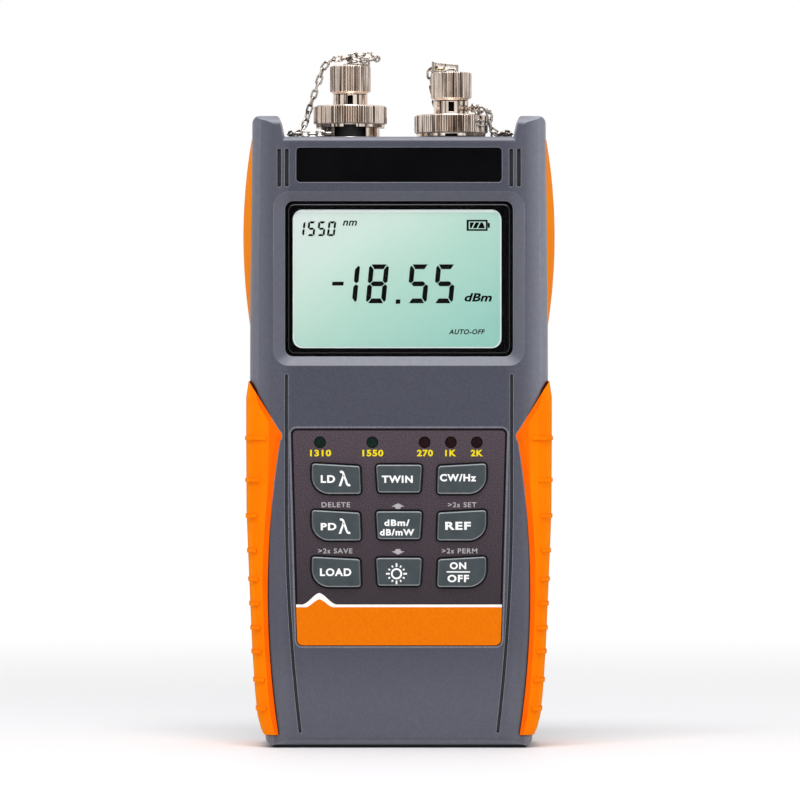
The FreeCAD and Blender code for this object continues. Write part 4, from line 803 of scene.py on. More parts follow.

# %% [markdown]
# ## The display glass
#
# The liquid crystal glass shows pale green. Painted light makes it lighter
# towards the top left, and a painted highlight runs along its top edge. The
# green is a slightly uneven gradient in the glass's own coordinates, so it
# stays put when the meter is turned.

# %% Green glass and its light guide
glass_finish, tree, shader = new_finish("display_green", (181, 215, 201), 0.3, specular=0.3)
place = split_place(tree)
# Painted light: the green grows lighter towards the top left.
across = math_node(tree, "MULTIPLY_ADD", place["X"], 0.0105, 0.30)
fall = math_node(tree, "MULTIPLY_ADD", place["Z"], -0.0150, 2.045)
uneven = math_node(tree, "MULTIPLY", grain(tree, 24.0), 0.08)
painted_light_gradient = math_node(tree, "ADD", math_node(tree, "ADD", across, fall), uneven)
green_and_painted_light = ramp(
    tree, painted_light_gradient, (0.0, (216, 225, 220)), (0.28, (200, 221, 210)),
    (0.55, (176, 211, 197)), (1.0, (146, 197, 184)),
)
# Painted highlight along the top edge.
painted_highlight_top_edge = between(tree, place["Z"], 140.35, 140.75)
colour_from(tree, shader, mix_colour(tree, painted_highlight_top_edge, green_and_painted_light, (0.9, 0.93, 0.92, 1)))
relief(tree, shader, grain(tree, 1.2), 0.002)
dress(glass_finish, "lcd_glass")

guide_finish, tree, shader = new_finish("light_guide_acrylic", (226, 236, 230), 0.25)
pane = ramp(tree, grain(tree, 1.0), (0.4, (220, 232, 226)), (0.6, (236, 242, 238)))
colour_from(tree, shader, pane)
dress(guide_finish, "light_guide")
print("green stops down the glass:", 4)

# %% [markdown]
# ## The clear window
#
# The window in front of the glass is clear plastic. A Fresnel mix of a
# transparent and a glossy shader lets the lamps through to the glass, which
# real refraction in a closed box would not, and keeps a faint reflection
# that grows where the window is seen at a slant.

# %% Clear window
window_finish = bpy.data.materials.new("clear_window")
window_finish.use_nodes = True
tree = window_finish.node_tree
tree.nodes.remove(tree.nodes["Principled BSDF"])
clear = put(tree, "BsdfTransparent", Color=(0.99, 0.995, 0.995, 1))
gloss = put(tree, "BsdfGlossy", Roughness=0.03)
edge_on = put(tree, "Fresnel", IOR=1.06)
tint = mottle(tree, 20.0, (250, 251, 251), (255, 255, 255))
tree.links.new(tint, gloss.inputs["Color"])
join = tree.nodes.new("ShaderNodeMixShader")
tree.links.new(edge_on.outputs["Fac"], join.inputs["Fac"])
tree.links.new(clear.outputs["BSDF"], join.inputs[1])
tree.links.new(gloss.outputs["BSDF"], join.inputs[2])
tree.links.new(join.outputs["Shader"], tree.nodes["Material Output"].inputs["Surface"])
dress(window_finish, "display_window")
print("display parts dressed:", 3)

# %% [markdown]
# ## The keypad's film
#
# The film round the keys is printed a dark plum grey with a fine speckle,
# darker towards its foot. The keys stand in holes of the film; round their
# feet, where ambient occlusion finds them, its colour is darkened as painted shade.

# %% Printed film
film_finish, tree, shader = new_finish("keypad_film", (66, 56, 63), 0.4, specular=0.25)
fine = ramp(tree, grain(tree, 0.3, 4.0), (0.38, (54, 44, 51)), (0.62, (86, 73, 82)))
up_film = math_node(tree, "MULTIPLY_ADD", split_place(tree)["Z"], 1 / 57, -0.47)
broad = ramp(tree, up_film, (0.0, (152, 150, 152)), (0.55, (222, 222, 222)), (1.0, (255, 255, 255)))
# Painted shade round the keys' feet.
near_key = put(tree, "AmbientOcclusion", Distance=2.2 * MM)
near_key.samples = 8
open_film = between(tree, near_key.outputs["AO"], 0.4, 0.98)
film = mix_colour(tree, 1.0, fine, broad, "MULTIPLY")
colour_from(tree, shader, mix_colour(tree, open_film, paint(22, 17, 20), film))
relief(tree, shader, grain(tree, 0.3, 3.0), 0.006, rounding=0.12)
dress(film_finish, "keypad_overlay")
print("film parts dressed:", 1)

# %% [markdown]
# ## The keys
#
# The keys are grey silicone rubber. Their rounded rims get a painted
# highlight, paler than their tops and most along the upper and lower edges,
# and their sides get painted shadow. The rim is found from the direction that
# the surface faces in the key's own space, so it stays with the key when the
# key is pressed or seen from the side.

# %% Key rubber
key_finish, tree, shader = new_finish("key_rubber", (62, 68, 74), 0.45, specular=0.3)
facing = split_facing(tree)
outward = math_node(tree, "MULTIPLY", facing["Y"], -1.0)
# Painted highlight on the rims, painted shadow on the sides.
on_rim = between(tree, outward, 0.995, 0.93)
on_side = between(tree, outward, 0.45, 0.15)
upper_or_lower = between(tree, math_node(tree, "ABSOLUTE", facing["Z"]), 0.1, 0.5)
top = mottle(tree, 3.0, (52, 60, 63), (62, 70, 74), 3.0)
dim_painted_highlight = mottle(tree, 1.5, (92, 98, 102), (106, 111, 115))
bright_painted_highlight = mottle(tree, 1.5, (134, 139, 143), (152, 156, 160))
painted_shadow_wall = mottle(tree, 1.5, (20, 21, 24), (28, 29, 33))
rim = mix_colour(tree, upper_or_lower, dim_painted_highlight, bright_painted_highlight)
lit = mix_colour(tree, on_rim, top, rim)
colour_from(tree, shader, mix_colour(tree, on_side, lit, painted_shadow_wall))
relief(tree, shader, grain(tree, 0.35, 3.0), 0.008)
KEYS = [name for name in nodes if name.startswith("key_") and name != "key_contacts"]
dress(key_finish, *KEYS)

mat_finish, tree, shader = new_finish("key_web_rubber", (26, 27, 31), 0.6)
colour_from(tree, shader, mottle(tree, 2.0, (22, 23, 26), (32, 33, 37)))
relief(tree, shader, grain(tree, 0.5), 0.01)
dress(mat_finish, "keypad_mat")
print("keys dressed:", len(KEYS))

# %% [markdown]
# ## Lamps in the keypad
#
# Five small indicator lamps sit in holes of the film: two green, three red,
# all unlit. An unlit lamp is dark tinted epoxy, with a little depth of colour
# where the noise lets it through.

# %% Tinted lamps
def lamp_epoxy(name, deep, bright):
    """Tinted resin of an unlit lamp."""
    finish, tree, shader = new_finish(name, deep, 0.2, specular=0.1)
    colour_from(tree, shader, ramp(tree, grain(tree, 0.8, 1.0), (0.35, deep), (0.65, bright)))
    relief(tree, shader, grain(tree, 0.6), 0.01, rounding=0.3)
    return finish


dress(lamp_epoxy("green_lamp_epoxy", (5, 24, 17), (10, 38, 29)), "led_1310", "led_1550")
dress(lamp_epoxy("red_lamp_epoxy", (18, 3, 6), (32, 7, 11)), "led_270", "led_1k", "led_2k")
print("indicator lamps dressed:", 5)

# %% [markdown]
# ## Nickel
#
# The ports, rings and caps are turned brass under bright nickel, which is
# warmer than chrome. Handling leaves the plate slightly uneven. Ambient
# occlusion darkens the roots of the knurling and the gaps between links to
# near black: a dark film there, and painted shade. Upright faces carry fine
# dark streaks as of the knurling tool, dark enough to be a painted reflection
# of dark bands as well; level ones don't. The adapters' fine thread is a wave
# in the relief.


# %% Nickel plate
def nickel(name, tones, roughness, thread=None):
    """Plated metal; tones are bright, dull and the painted shade of hollows; thread is (foot,
    pitch).
    """
    bright, dull, painted_shade_root = tones
    finish, tree, shader = new_finish(name, bright, roughness, metallic=1.0)
    tone = ramp(tree, grain(tree, 2.5, 3.0, (1, 1, 0.35)), (0.3, dull), (0.7, bright))
    # Dark upright streaks: tool marks and painted reflection.
    streaks = grain(tree, 0.7, 2.0, (1, 1, 0.02))
    streaks_and_painted_reflection = ramp(tree, streaks, (0.37, (104, 94, 88)), (0.47, (255, 255, 255)))
    level = math_node(tree, "ABSOLUTE", split_facing(tree)["Z"])
    tone = mix_colour(tree, between(tree, level, 0.75, 0.45), tone, streaks_and_painted_reflection, "MULTIPLY")
    # Painted shade in hollows and between links.
    hollow = put(tree, "AmbientOcclusion", Distance=0.6 * MM)
    hollow.samples = 8
    open_air = between(tree, hollow.outputs["AO"], 0.42, 0.86)
    colour_from(tree, shader, mix_colour(tree, open_air, paint(*painted_shade_root), tone))
    height, depth = grain(tree, 0.25, 2.0, (1, 1, 0.15)), 0.004
    if thread:
        foot, pitch = thread
        up = split_place(tree)["Z"]
        wave = math_node(tree, "SINE", math_node(tree, "MULTIPLY", up, 2 * math.pi / pitch))
        height = math_node(tree, "MULTIPLY", wave, between(tree, up, foot, foot + 0.2))
        depth = 0.1
    relief(tree, shader, height, depth, rounding=0.12)
    return finish


# The third tone is the painted shade of hollows.
PLATE_TONES = (250, 234, 221), (214, 196, 182), (20, 15, 13)
plate_finish = nickel("nickel_over_brass", PLATE_TONES, 0.17)
PLATED = ("port_base", "port_nut", "coupling_ring", "dust_cap")
for side in ("left_", "right_"):
    dress(plate_finish, *[side + part for part in PLATED])
THREAD_PITCH = 0.75
for side, foot in (("left", 172.1), ("right", 170.4)):
    barrel = nickel(side + "_threaded_barrel", PLATE_TONES, 0.17, (foot, THREAD_PITCH))
    dress(barrel, side + "_adapter")
print("plated parts dressed:", 2 * len(PLATED) + 2)

# %% [markdown]
# ## Wire and the worn first link
#
# Chains, wire rings and the strips on the caps are nickelled steel, cooler
# than the brass parts, with painted shade darker in their gaps. The first link
# of the right chain sits in its strip and shows bare brass, so its faces get a
# second material.

# %% Nickelled wire
wire_finish = nickel("nickel_over_steel", ((234, 226, 218), (140, 128, 118), (8, 6, 6)), 0.16)
dress(wire_finish, "left_cap_swivel", "right_cap_swivel", "left_chain", "right_chain")
brass_finish = nickel("worn_brass", ((226, 190, 112), (184, 146, 78), (40, 28, 12)), 0.22)
FACES_A_LINK = 8 * len(link_path())
for chain in chains:
    coat_piece(chain, wire_finish)
    chain.data.materials.append(brass_finish)
for face in chains[1].data.polygons[:FACES_A_LINK]:
    face.material_index = 1
print("faces in worn brass:", FACES_A_LINK)

# %% [markdown]
# ## Parts inside
#
# The works are hidden at rest, but they show through the open battery bay,
# and each is a part in its own right. The board's lacquer shows the weave of
# its glass cloth, chips and cores are black resin, and the strip that joins
# the display to the board is striped rubber.

# %% Board, chips and connector
board_finish, tree, shader = new_finish("board_lacquer", (12, 74, 36), 0.3)
weave = ramp(tree, grain(tree, 0.6, 2.0, (1, 1, 0.2)), (0.4, (10, 66, 32)), (0.6, (18, 92, 46)))
colour_from(tree, shader, weave)
relief(tree, shader, grain(tree, 1.2, 2.0, (0.2, 1, 1)), 0.02, rounding=0.1)
dress(board_finish, "main_board")

chip_finish, tree, shader = new_finish("chip_resin", (22, 22, 24), 0.55)
colour_from(tree, shader, mottle(tree, 0.5, (17, 17, 19), (30, 30, 33), 3.0))
relief(tree, shader, grain(tree, 0.2), 0.006, rounding=0.12)
dress(chip_finish, "board_chips", "left_port_core", "right_port_core")

zebra_finish, tree, shader = new_finish("connector_rubber", (40, 40, 44), 0.7)
stripes = grain(tree, 0.4, 0.0, (1, 0.05, 0.05))
colour_from(tree, shader, ramp(tree, stripes, (0.45, (24, 24, 27)), (0.55, (150, 150, 152))))
relief(tree, shader, grain(tree, 0.3), 0.01)
dress(zebra_finish, "lcd_connector")
print("board parts dressed:", 5)

# %% [markdown]
# ## Metal inside, and the cells
#
# Shield, contacts and slip washers are tinned steel, the key contacts and the
# two optical cans are gilt, and the screws are blackened. The metals differ
# in colour, roughness and the size of their mottling. The cells' jackets are
# dark with a copper end, a step in their own height.

# %% Tin, gilt, screws and cells
tin_finish, tree, shader = new_finish("tinned_steel", (186, 186, 184), 0.32, metallic=1.0)
colour_from(tree, shader, mottle(tree, 1.5, (168, 168, 166), (204, 204, 202), 4.0))
relief(tree, shader, grain(tree, 0.4, 3.0), 0.004, rounding=0.1)
dress(tin_finish, "amplifier_shield", "lower_contacts", "upper_contacts")
dress(tin_finish, "left_slip_washer", "right_slip_washer")

gilt_finish, tree, shader = new_finish("gilt", (214, 172, 86), 0.24, metallic=1.0)
colour_from(tree, shader, mottle(tree, 1.0, (198, 154, 70), (226, 186, 104), 3.0))
relief(tree, shader, grain(tree, 0.3), 0.003, rounding=0.1)
dress(gilt_finish, "key_contacts", "detector", "laser_module")

screw_finish, tree, shader = new_finish("blackened_screw_steel", (74, 74, 78), 0.36, metallic=1.0)
colour_from(tree, shader, mottle(tree, 0.8, (58, 58, 62), (92, 92, 96), 3.0))
relief(tree, shader, grain(tree, 0.3), 0.006, rounding=0.12)
dress(screw_finish, "case_screws", "board_screws")

jacket_finish, tree, shader = new_finish("cell_jacket", (30, 31, 34), 0.28)
band = between(tree, split_place(tree)["Z"], 47.9, 48.1)
dark = mottle(tree, 4.0, (26, 27, 30), (36, 37, 41))
copper = mottle(tree, 2.0, (188, 128, 70), (208, 148, 88))
colour_from(tree, shader, mix_colour(tree, band, dark, copper))
relief(tree, shader, grain(tree, 2.0), 0.01, rounding=0.2)
dress(jacket_finish, "battery_left", "battery_middle", "battery_right")

bare = [name for name, node in nodes.items() if not any(node.data.materials)]
print("nodes still bare:", bare)

# %% [markdown]
# ## Ink
#
# All printing on the meter is thin ink on film, rubber or glass. A flat face
# lying in the surface would flicker against it, so each print is a closed
# layer a few hundredths of a millimetre thick. The inks differ only in
# colour, so one recipe makes them all, with a slightly patchy cover.


# %% Inks
INK = 0.03    # thickness of a print


def ink(name, colour, roughness=0.45):
    """Patchy ink in a colour given by display values."""
    finish, tree, shader = new_finish(name, colour, roughness, specular=0.06)
    thin = tuple(max(0, v - 8) for v in colour)
    colour_from(tree, shader, ramp(tree, grain(tree, 0.5, 3.0), (0.3, thin), (0.6, colour)))
    relief(tree, shader, grain(tree, 0.3), 0.003)
    return finish


white_ink = ink("white_ink", (246, 246, 246))
grey_ink = ink("grey_ink", (176, 172, 175))
yellow_ink = ink("yellow_ink", (238, 214, 22))
orange_ink = ink("orange_ink", (230, 116, 0), 0.5)
cream_ink = ink("cream_ink", (250, 242, 236))
segment_ink = ink("segment_black", (10, 8, 10), 0.6)
print("inks:", 6)

# %% [markdown]
# ## Outlines into thin layers
#
# A print's outline is a list of corners on the front plane, in millimetres
# across and up. It becomes a closed prism facing the viewer, so that no edge
# is left open. A frame or ring needs two outlines with a band between them,
# so it has a helper of its own.


# %% Flat prints
def add_prism(bm, outline, front_y, thickness):
    """A closed prism from (x, z) corners, its front at front_y."""
    near = [bm.verts.new((x, front_y, z)) for x, z in outline]
    far = [bm.verts.new((x, front_y + thickness, z)) for x, z in outline]
    bm.faces.new(near)
    bm.faces.new(list(reversed(far)))
    count = len(outline)
    for i in range(count):
        j = (i + 1) % count
        bm.faces.new((near[j], near[i], far[i], far[j]))


def add_band(bm, outer, inner, front_y, thickness):
    """A closed band between two outlines with the same number of corners."""
    count = len(outer)
    loops = [
        [bm.verts.new((x, y, z)) for x, z in outline]
        for outline in (outer, inner) for y in (front_y, front_y + thickness)
    ]
    outer_near, outer_far, inner_near, inner_far = loops
    for i in range(count):
        j = (i + 1) % count
        bm.faces.new((outer_near[i], outer_near[j], inner_near[j], inner_near[i]))
        bm.faces.new((outer_far[j], outer_far[i], inner_far[i], inner_far[j]))
        bm.faces.new((outer_near[j], outer_near[i], outer_far[i], outer_far[j]))
        bm.faces.new((inner_near[i], inner_near[j], inner_far[j], inner_far[i]))


def round_outline(cx, cz, radius, count=32):
    """A circle's outline."""
    angles = [2 * math.pi * k / count for k in range(count)]
    return [(cx + radius * math.cos(a), cz + radius * math.sin(a)) for a in angles]


def rounded_box(left, right, low, high, radius, steps=6):
    """A rectangle's outline with round corners."""
    outline = []
    corners = (
        (right - radius, low + radius, -90), (right - radius, high - radius, 0),
        (left + radius, high - radius, 90), (left + radius, low + radius, 180),
    )
    for cx, cz, start in corners:
        for k in range(steps + 1):
            a = math.radians(start + 90 * k / steps)
            outline.append((cx + radius * math.cos(a), cz + radius * math.sin(a)))
    return outline


def print_layer(name, outlines, front_y, finish, body="case"):
    """One piece of ink from any number of outlines."""
    bm = bmesh.new()
    for outline in outlines:
        add_prism(bm, outline, front_y, INK)
    coat_piece(piece_from(bm, name, body), finish)


print("print helpers ready")

# %% [markdown]
# ## Words
#
# Blender's text object gives clean outlines for letters and figures. Its
# `offset` swells the strokes for a bolder face. The text is made into a mesh
# at once and fitted to its width and to the height of its capitals, because
# that is how lettering is measured on a drawing, and a mesh keeps its shape
# in any export.


# %% Helper for words
def letters(text, weight, lean, spacing):
    """(mesh of some text, height of a capital, where a capital stands)."""
    def shape(phrase):
        curve = bpy.data.curves.new("letters", "FONT")
        curve.body, curve.offset, curve.shear = phrase, weight, lean
        curve.space_character = spacing
        curve.extrude = 0.5
        curve.resolution_u = 5    # straight pieces a curve's span is made of
        holder = bpy.data.objects.new("letters", curve)
        bpy.context.scene.collection.objects.link(holder)
        bpy.context.view_layer.update()
        mesh = bpy.data.meshes.new_from_object(holder)
        bpy.data.objects.remove(holder)
        bpy.data.curves.remove(curve)
        return mesh

    capital = shape("H")
    ys = [v.co.y for v in capital.vertices]
    bpy.data.meshes.remove(capital)
    return shape(text), max(ys) - min(ys), min(ys)


def words(name, text, left, right, low, high, front_y, finish, body="case",
          weight=0.02, lean=0.0, whole_box=False, spacing=1.0):
    """Text between left and right, with its capitals from low to high."""
    mesh, height, floor_y = letters(text, weight, lean, spacing)
    xs = [v.co.x for v in mesh.vertices]
    if whole_box:
        ys = [v.co.y for v in mesh.vertices]
        height, floor_y = max(ys) - min(ys), min(ys)
    wide = (right - left) / (max(xs) - min(xs))
    tall = (high - low) / height
    start = min(xs)
    for v in mesh.vertices:
        x, y, z = v.co
        v.co = mm(
            left + (x - start) * wide, front_y + INK * (0.5 - z), low + (y - floor_y) * tall,
        )
    mesh.name = name
    bm = bmesh.new()
    bm.from_mesh(mesh)
    bmesh.ops.remove_doubles(bm, verts=bm.verts, dist=1e-7)
    bmesh.ops.recalc_face_normals(bm, faces=bm.faces)
    bm.to_mesh(mesh)
    bm.free()
    piece = bpy.data.objects.new(name, mesh)
    bpy.context.scene.collection.objects.link(piece)
    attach(piece, body)
    coat_piece(piece, finish)


print("word helper ready")

# %% [markdown]
# ## Printing on the keypad's film
#
# The film carries an orange field at its foot and above it a white line that
# swells into a small hill. The hill is drawn once as a curve and used for
# both the line and the field, so that they meet without a gap. Their ends
# follow the film's slanting sides.

# %% Orange field and white line
FILM_Y = -15.6
ON_FILM = FILM_Y - INK
FILM_FOOT, FILM_TOP = 26.8, 83.7              # heights of the film's ends
FOOT_HALF_WIDTH, TOP_HALF_WIDTH = 26.8, 28.3
FILM_CORNER = 1.5
EDGE_GAP = 0.12    # between the prints and the film's edge


def hill(left, peak_x, right, foot, peak):
    """Corners of a smooth hill from left to right."""
    outline = []
    for k in range(17):
        t = k / 16
        x = left + (right - left) * t
        reach = (x - peak_x) / ((left if x < peak_x else right) - peak_x)
        rise = (0.5 + 0.5 * math.cos(math.pi * min(1, abs(reach)))) * 0.62 + 0.38 * (1 - abs(reach))
        outline.append((x, foot + (peak - foot) * rise))
    return outline


def film_edge(z):
    """How far out prints reach at a height, a little inside the film's side."""
    widening = (TOP_HALF_WIDTH - FOOT_HALF_WIDTH) / (FILM_TOP - FILM_FOOT)
    return FOOT_HALF_WIDTH + (z - FILM_FOOT) * widening - EDGE_GAP


def foot_corner(side):
    """The film's rounded lower corner, a little inside it."""
    r = FILM_CORNER
    cx, cz = side * (film_edge(FILM_FOOT) - r), FILM_FOOT + EDGE_GAP + r
    angles = [math.radians(a) for a in range(0, 91, 15)]
    turn = [(cx + side * r * math.sin(a), cz - r * math.cos(a)) for a in angles]
    return turn if side > 0 else list(reversed(turn))


orange_top = 36.9
line_top = 37.6
lower_hill = hill(-24.3, -20.9, -17.3, orange_top, 39.0)
upper_hill = hill(-25.2, -20.9, -16.5, line_top, 40.65)
orange_outline = (
    foot_corner(-1) + foot_corner(1)
    + [(film_edge(orange_top), orange_top)]
    + list(reversed(lower_hill))
    + [(-film_edge(orange_top), orange_top)]
)
line_outline = (
    [(-film_edge(orange_top), orange_top)]
    + lower_hill
    + [(film_edge(orange_top), orange_top), (film_edge(line_top), line_top)]
    + list(reversed(upper_hill))
    + [(-film_edge(line_top), line_top)]
)
print_layer("orange_field_print", [orange_outline], ON_FILM, orange_ink)
print_layer("white_line_print", [line_outline], ON_FILM, cream_ink)
print("corners of field and line:", len(orange_outline), "and", len(line_outline))

# %% [markdown]
# ## Round the film's edge
#
# Inside the film's edge a dark band is painted shade, and the case has a low
# lip round it whose pale top is a painted highlight. Both are bands between
# two copies of the film's outline, one grown a little more than the other.


# %% Border and lip
def film_outline(grow):
    """The film's outline, grow millimetres outside it."""
    foot, top, r = FOOT_HALF_WIDTH, TOP_HALF_WIDTH, FILM_CORNER
    corners = (
        (foot, FILM_FOOT, 1, -1), (top, FILM_TOP, 1, 1),
        (-top, FILM_TOP, -1, 1), (-foot, FILM_FOOT, -1, -1),
    )
    outline = []
    for (x, z, way_x, way_z), start in zip(corners, (-90, 0, 90, 180)):
        for k in range(7):
            a = math.radians(start + 15 * k)
            outline.append((
                x - way_x * r + (r + grow) * math.cos(a), z - way_z * r + (r + grow) * math.sin(a),
            ))
    return outline


# Painted shade: a dark band just inside the film's edge.
bm = bmesh.new()
add_band(bm, film_outline(-0.04), film_outline(-0.5), FILM_Y - 0.012, 0.03)
painted_shade_ink = ink("painted_shade_ink", (22, 18, 22))
coat_piece(piece_from(bm, "film_painted_shade_band", "case"), painted_shade_ink)
# Painted highlight: the pale top of the lip.
bm = bmesh.new()
add_band(bm, film_outline(0.6), film_outline(0.14), FILM_Y - 0.03, 0.04)
lip_finish, tree, shader = new_finish("painted_highlight_lip", (112, 112, 121), 0.45, specular=0.3)
colour_from(tree, shader, mottle(tree, 0.5, (96, 96, 105), (120, 120, 129), 3.0))
relief(tree, shader, grain(tree, 0.3), 0.005)
coat_piece(piece_from(bm, "film_lip", "case"), lip_finish)
print("corners round the film:", len(film_outline(0)))

# %% [markdown]
# ## Words on the film
#
# Yellow figures stand under the lamps, and small grey words and arrows over
# the keys say what a longer press does. Each is given by its ends and the
# height of its capitals.

# %% Words and marks on the film
for name, text, left, right in (
    ("label_1310", "1310", -23.3, -17.8), ("label_1550", "1550", -9.6, -4.1),
    ("label_270", "270", 4.7, 8.9), ("label_1k", "1K", 12.1, 15.0), ("label_2k", "2K", 18.8, 22.0),
):
    words(name, text, left, right, 76.45, 78.15, ON_FILM, yellow_ink,
          weight=0.036, spacing=1.12)
for name, text, left, right, low, high in (
    ("label_delete", "DELETE", -20.3, -12.8, 63.1, 64.4),
    ("label_set", ">2s SET", 12.8, 20.3, 63.1, 64.4),
    ("label_save", ">2s SAVE", -21.2, -12.2, 51.0, 52.3),
    ("label_perm", ">2s PERM", 11.2, 20.5, 51.0, 52.3),
):
    words(name, text, left, right, low, high, ON_FILM, grey_ink,
          weight=0.018, spacing=1.16)


def arrow(cx, cz, way):
    """A flat arrowhead with a short stub below it."""
    return [
        (cx - 1.7, cz - 0.1 * way), (cx, cz + 0.75 * way), (cx + 1.7, cz - 0.1 * way),
        (cx + 0.85, cz - 0.2 * way), (cx + 0.55, cz - 0.75 * way),
        (cx - 0.55, cz - 0.75 * way), (cx - 0.85, cz - 0.2 * way),
    ]


down = list(reversed(arrow(-0.26, 51.4, -1)))
print_layer("arrow_up", [arrow(-0.26, 63.4, 1)], ON_FILM, grey_ink)
print_layer("arrow_down", [down], ON_FILM, grey_ink)
print("words on the film:", 9, "arrows:", 2)

# %% [markdown]
# ## Printing on the keys
#
# The legends are bold white and ride with their keys, so each names the body
# it belongs to. The Greek letter has no capital's height, so it is fitted by
# its whole box. The power key has a bar between its two words.

# %% Key legends
KEY_Y = -16.5
ON_KEY = KEY_Y - INK
for name, text, left, right, low, high, key in (
    ("legend_source", "LD", -20.5, -16.75, 69.5, 71.5, "key_source_wavelength"),
    ("legend_twin", "TWIN", -4.5, 3.6, 69.5, 71.4, "key_twin"),
    ("legend_modulation", "CW/Hz", 10.7, 20.2, 69.9, 71.8, "key_modulation"),
    ("legend_meter", "PD", -20.5, -16.4, 57.1, 59.0, "key_meter_wavelength"),
    ("legend_unit_dbm", "dBm/", -3.85, 2.8, 58.2, 59.9, "key_unit"),
    ("legend_unit_mw", "dB/mW", -5.0, 4.0, 55.7, 57.4, "key_unit"),
    ("legend_reference", "REF", 12.1, 18.8, 57.2, 59.3, "key_reference"),
    ("legend_load", "LOAD", -20.7, -12.5, 45.1, 47.1, "key_load"),
    ("legend_on", "ON", 13.3, 17.6, 46.9, 48.7, "key_power"),
    ("legend_off", "OFF", 12.7, 18.3, 43.5, 45.4, "key_power"),
):
    words(name, text, left, right, low, high, ON_KEY, white_ink, key,
          weight=0.038, spacing=1.16)
for name, key, low in (
    ("legend_source_lambda", "key_source_wavelength", 68.6),
    ("legend_meter_lambda", "key_meter_wavelength", 56.1),
):
    words(name, "λ", -15.8, -12.7, low, low + 4.1, ON_KEY, white_ink, key,
          weight=0.015, whole_box=True)
bar = [(12.45, 46.0), (18.6, 46.0), (18.6, 46.35), (12.45, 46.35)]
print_layer("legend_power_bar", [bar], ON_KEY, white_ink, "key_power")
print("key legends:", 13)

# %% [markdown]
# ## The sun on the backlight key
#
# The key for the backlight shows a small sun: a ring with twelve rays, every
# third one longer and broader. The rays are one small prism each, turned
# round the middle.

# %% Sun sign
bm = bmesh.new()
sun_x, sun_z = -0.65, 45.7
add_band(bm, round_outline(sun_x, sun_z, 1.48), round_outline(sun_x, sun_z, 1.0), ON_KEY, INK)
for k in range(12):
    a = math.pi * k / 6
    u, v = Vector((math.cos(a), math.sin(a))), Vector((-math.sin(a), math.cos(a)))
    near, far, half = (1.8, 2.75, 0.22) if k % 3 == 0 else (1.9, 2.45, 0.2)
    ray = [u * near - v * half, u * far - v * half, u * far + v * half, u * near + v * half]
    add_prism(bm, [(sun_x + p.x, sun_z + p.y) for p in ray], ON_KEY, INK)
coat_piece(piece_from(bm, "legend_sun", "key_backlight"), white_ink)
print("rays:", 12)

# %% [markdown]
# ## What the display shows
#
# A display figure is built from seven bars with mitred ends and hair gaps
# between them. Each bar is a small polygon, leaned over by a shear, so one
# helper draws any figure at any size. Three of the upright bars mirror the
# upper left one, and the lowest bar mirrors the top one.

# %% Seven-bar figures
GLASS_Y = -13.2
ON_GLASS = GLASS_Y - INK
BARS = {"0": "abcdef", "1": "bc", "5": "acdfg", "8": "abcdefg"}
LARGE = (5.2, 10.2, 1.25, 0.13, 0.095)    # width, height, bar, gap, lean
SMALL = (2.05, 3.9, 0.56, 0.06, 0.12)


def bar_shapes(width, height, t, gap):
    """The seven bars of a figure that stands upright at the origin."""
    w, h, m, g = width, height, height / 2, gap
    top = [(g + 0.4 * t, h), (w - g - 0.4 * t, h), (w - g - t, h - t), (g + t, h - t)]
    upper = [
        (0, h - g - 0.5 * t), (0.35 * t, h - g - 0.15 * t), (t, h - t - g),
        (t, m + t / 2 + g), (t * 0.5, m + g), (0, m + g + 0.35 * t),
    ]
    middle = [
        (g + t / 2, m), (g + t, m + t / 2), (w - g - t, m + t / 2),
        (w - g - t / 2, m), (w - g - t, m - t / 2), (g + t, m - t / 2),
    ]

    def across(bar):
        return [(w - x, z) for x, z in bar]

    def below(bar):
        return [(x, h - z) for x, z in bar]

    return {
        "a": top, "d": below(top), "f": upper, "b": across(upper),
        "e": below(upper), "c": below(across(upper)), "g": middle,
    }


def figure(digit, left, low, width, height, t, gap, lean):
    """Outlines of one figure whose bars are t millimetres thick."""
    shapes = bar_shapes(width, height, t, gap)
    return [[(left + x + lean * z, low + z) for x, z in shapes[bar]] for bar in BARS[digit]]


print("bars in an eight:", len(figure("8", 0, 0, *LARGE)))

# %% [markdown]
# ## The reading and its units
#
# The large reading has a minus sign and a point besides its figures. The
# wavelength stands small at the top left. The units and the note that the
# meter switches itself off are leaning letters, as display makers draw them.

# %% Reading, wavelength and units
reading = []
for digit, left in (("1", -16.35), ("8", -8.75), ("5", 2.0), ("5", 8.9)):
    reading += figure(digit, left, 116.6, *LARGE)
minus = [(-17.6, 121.25), (-14.6, 121.25), (-14.5, 122.25), (-17.5, 122.25)]
point = [(-0.9, 116.45), (0.28, 116.45), (0.38, 117.6), (-0.8, 117.6)]
print_layer("reading_figures", reading + [minus, point], ON_GLASS, segment_ink)

wavelength = []
for digit, left in (("1", -27.0), ("5", -24.25), ("5", -21.6), ("0", -18.95)):
    wavelength += figure(digit, left, 134.2, *SMALL)
print_layer("wavelength_figures", wavelength, ON_GLASS, segment_ink)
for name, text, left, right, low, high, weight, spacing in (
    ("unit_nm", "nm", -14.8, -11.0, 136.95, 138.9, 0.022, 1.05),
    ("unit_dbm", "dBm", 17.2, 24.4, 117.05, 119.25, 0.034, 1.05),
    ("auto_off", "AUTO-OFF", 13.05, 22.6, 108.45, 109.75, 0.03, 1.12),
):
    words(name, text, left, right, low, high, ON_GLASS, segment_ink,
          weight=weight, lean=0.25, spacing=spacing)
print("display figures:", 8, "words:", 3)

# %% [markdown]
# ## The battery sign
#
# The sign at the top right is a frame with a nub at its end and three
# slanting bars inside. Frame, nub and bars are one piece of ink.

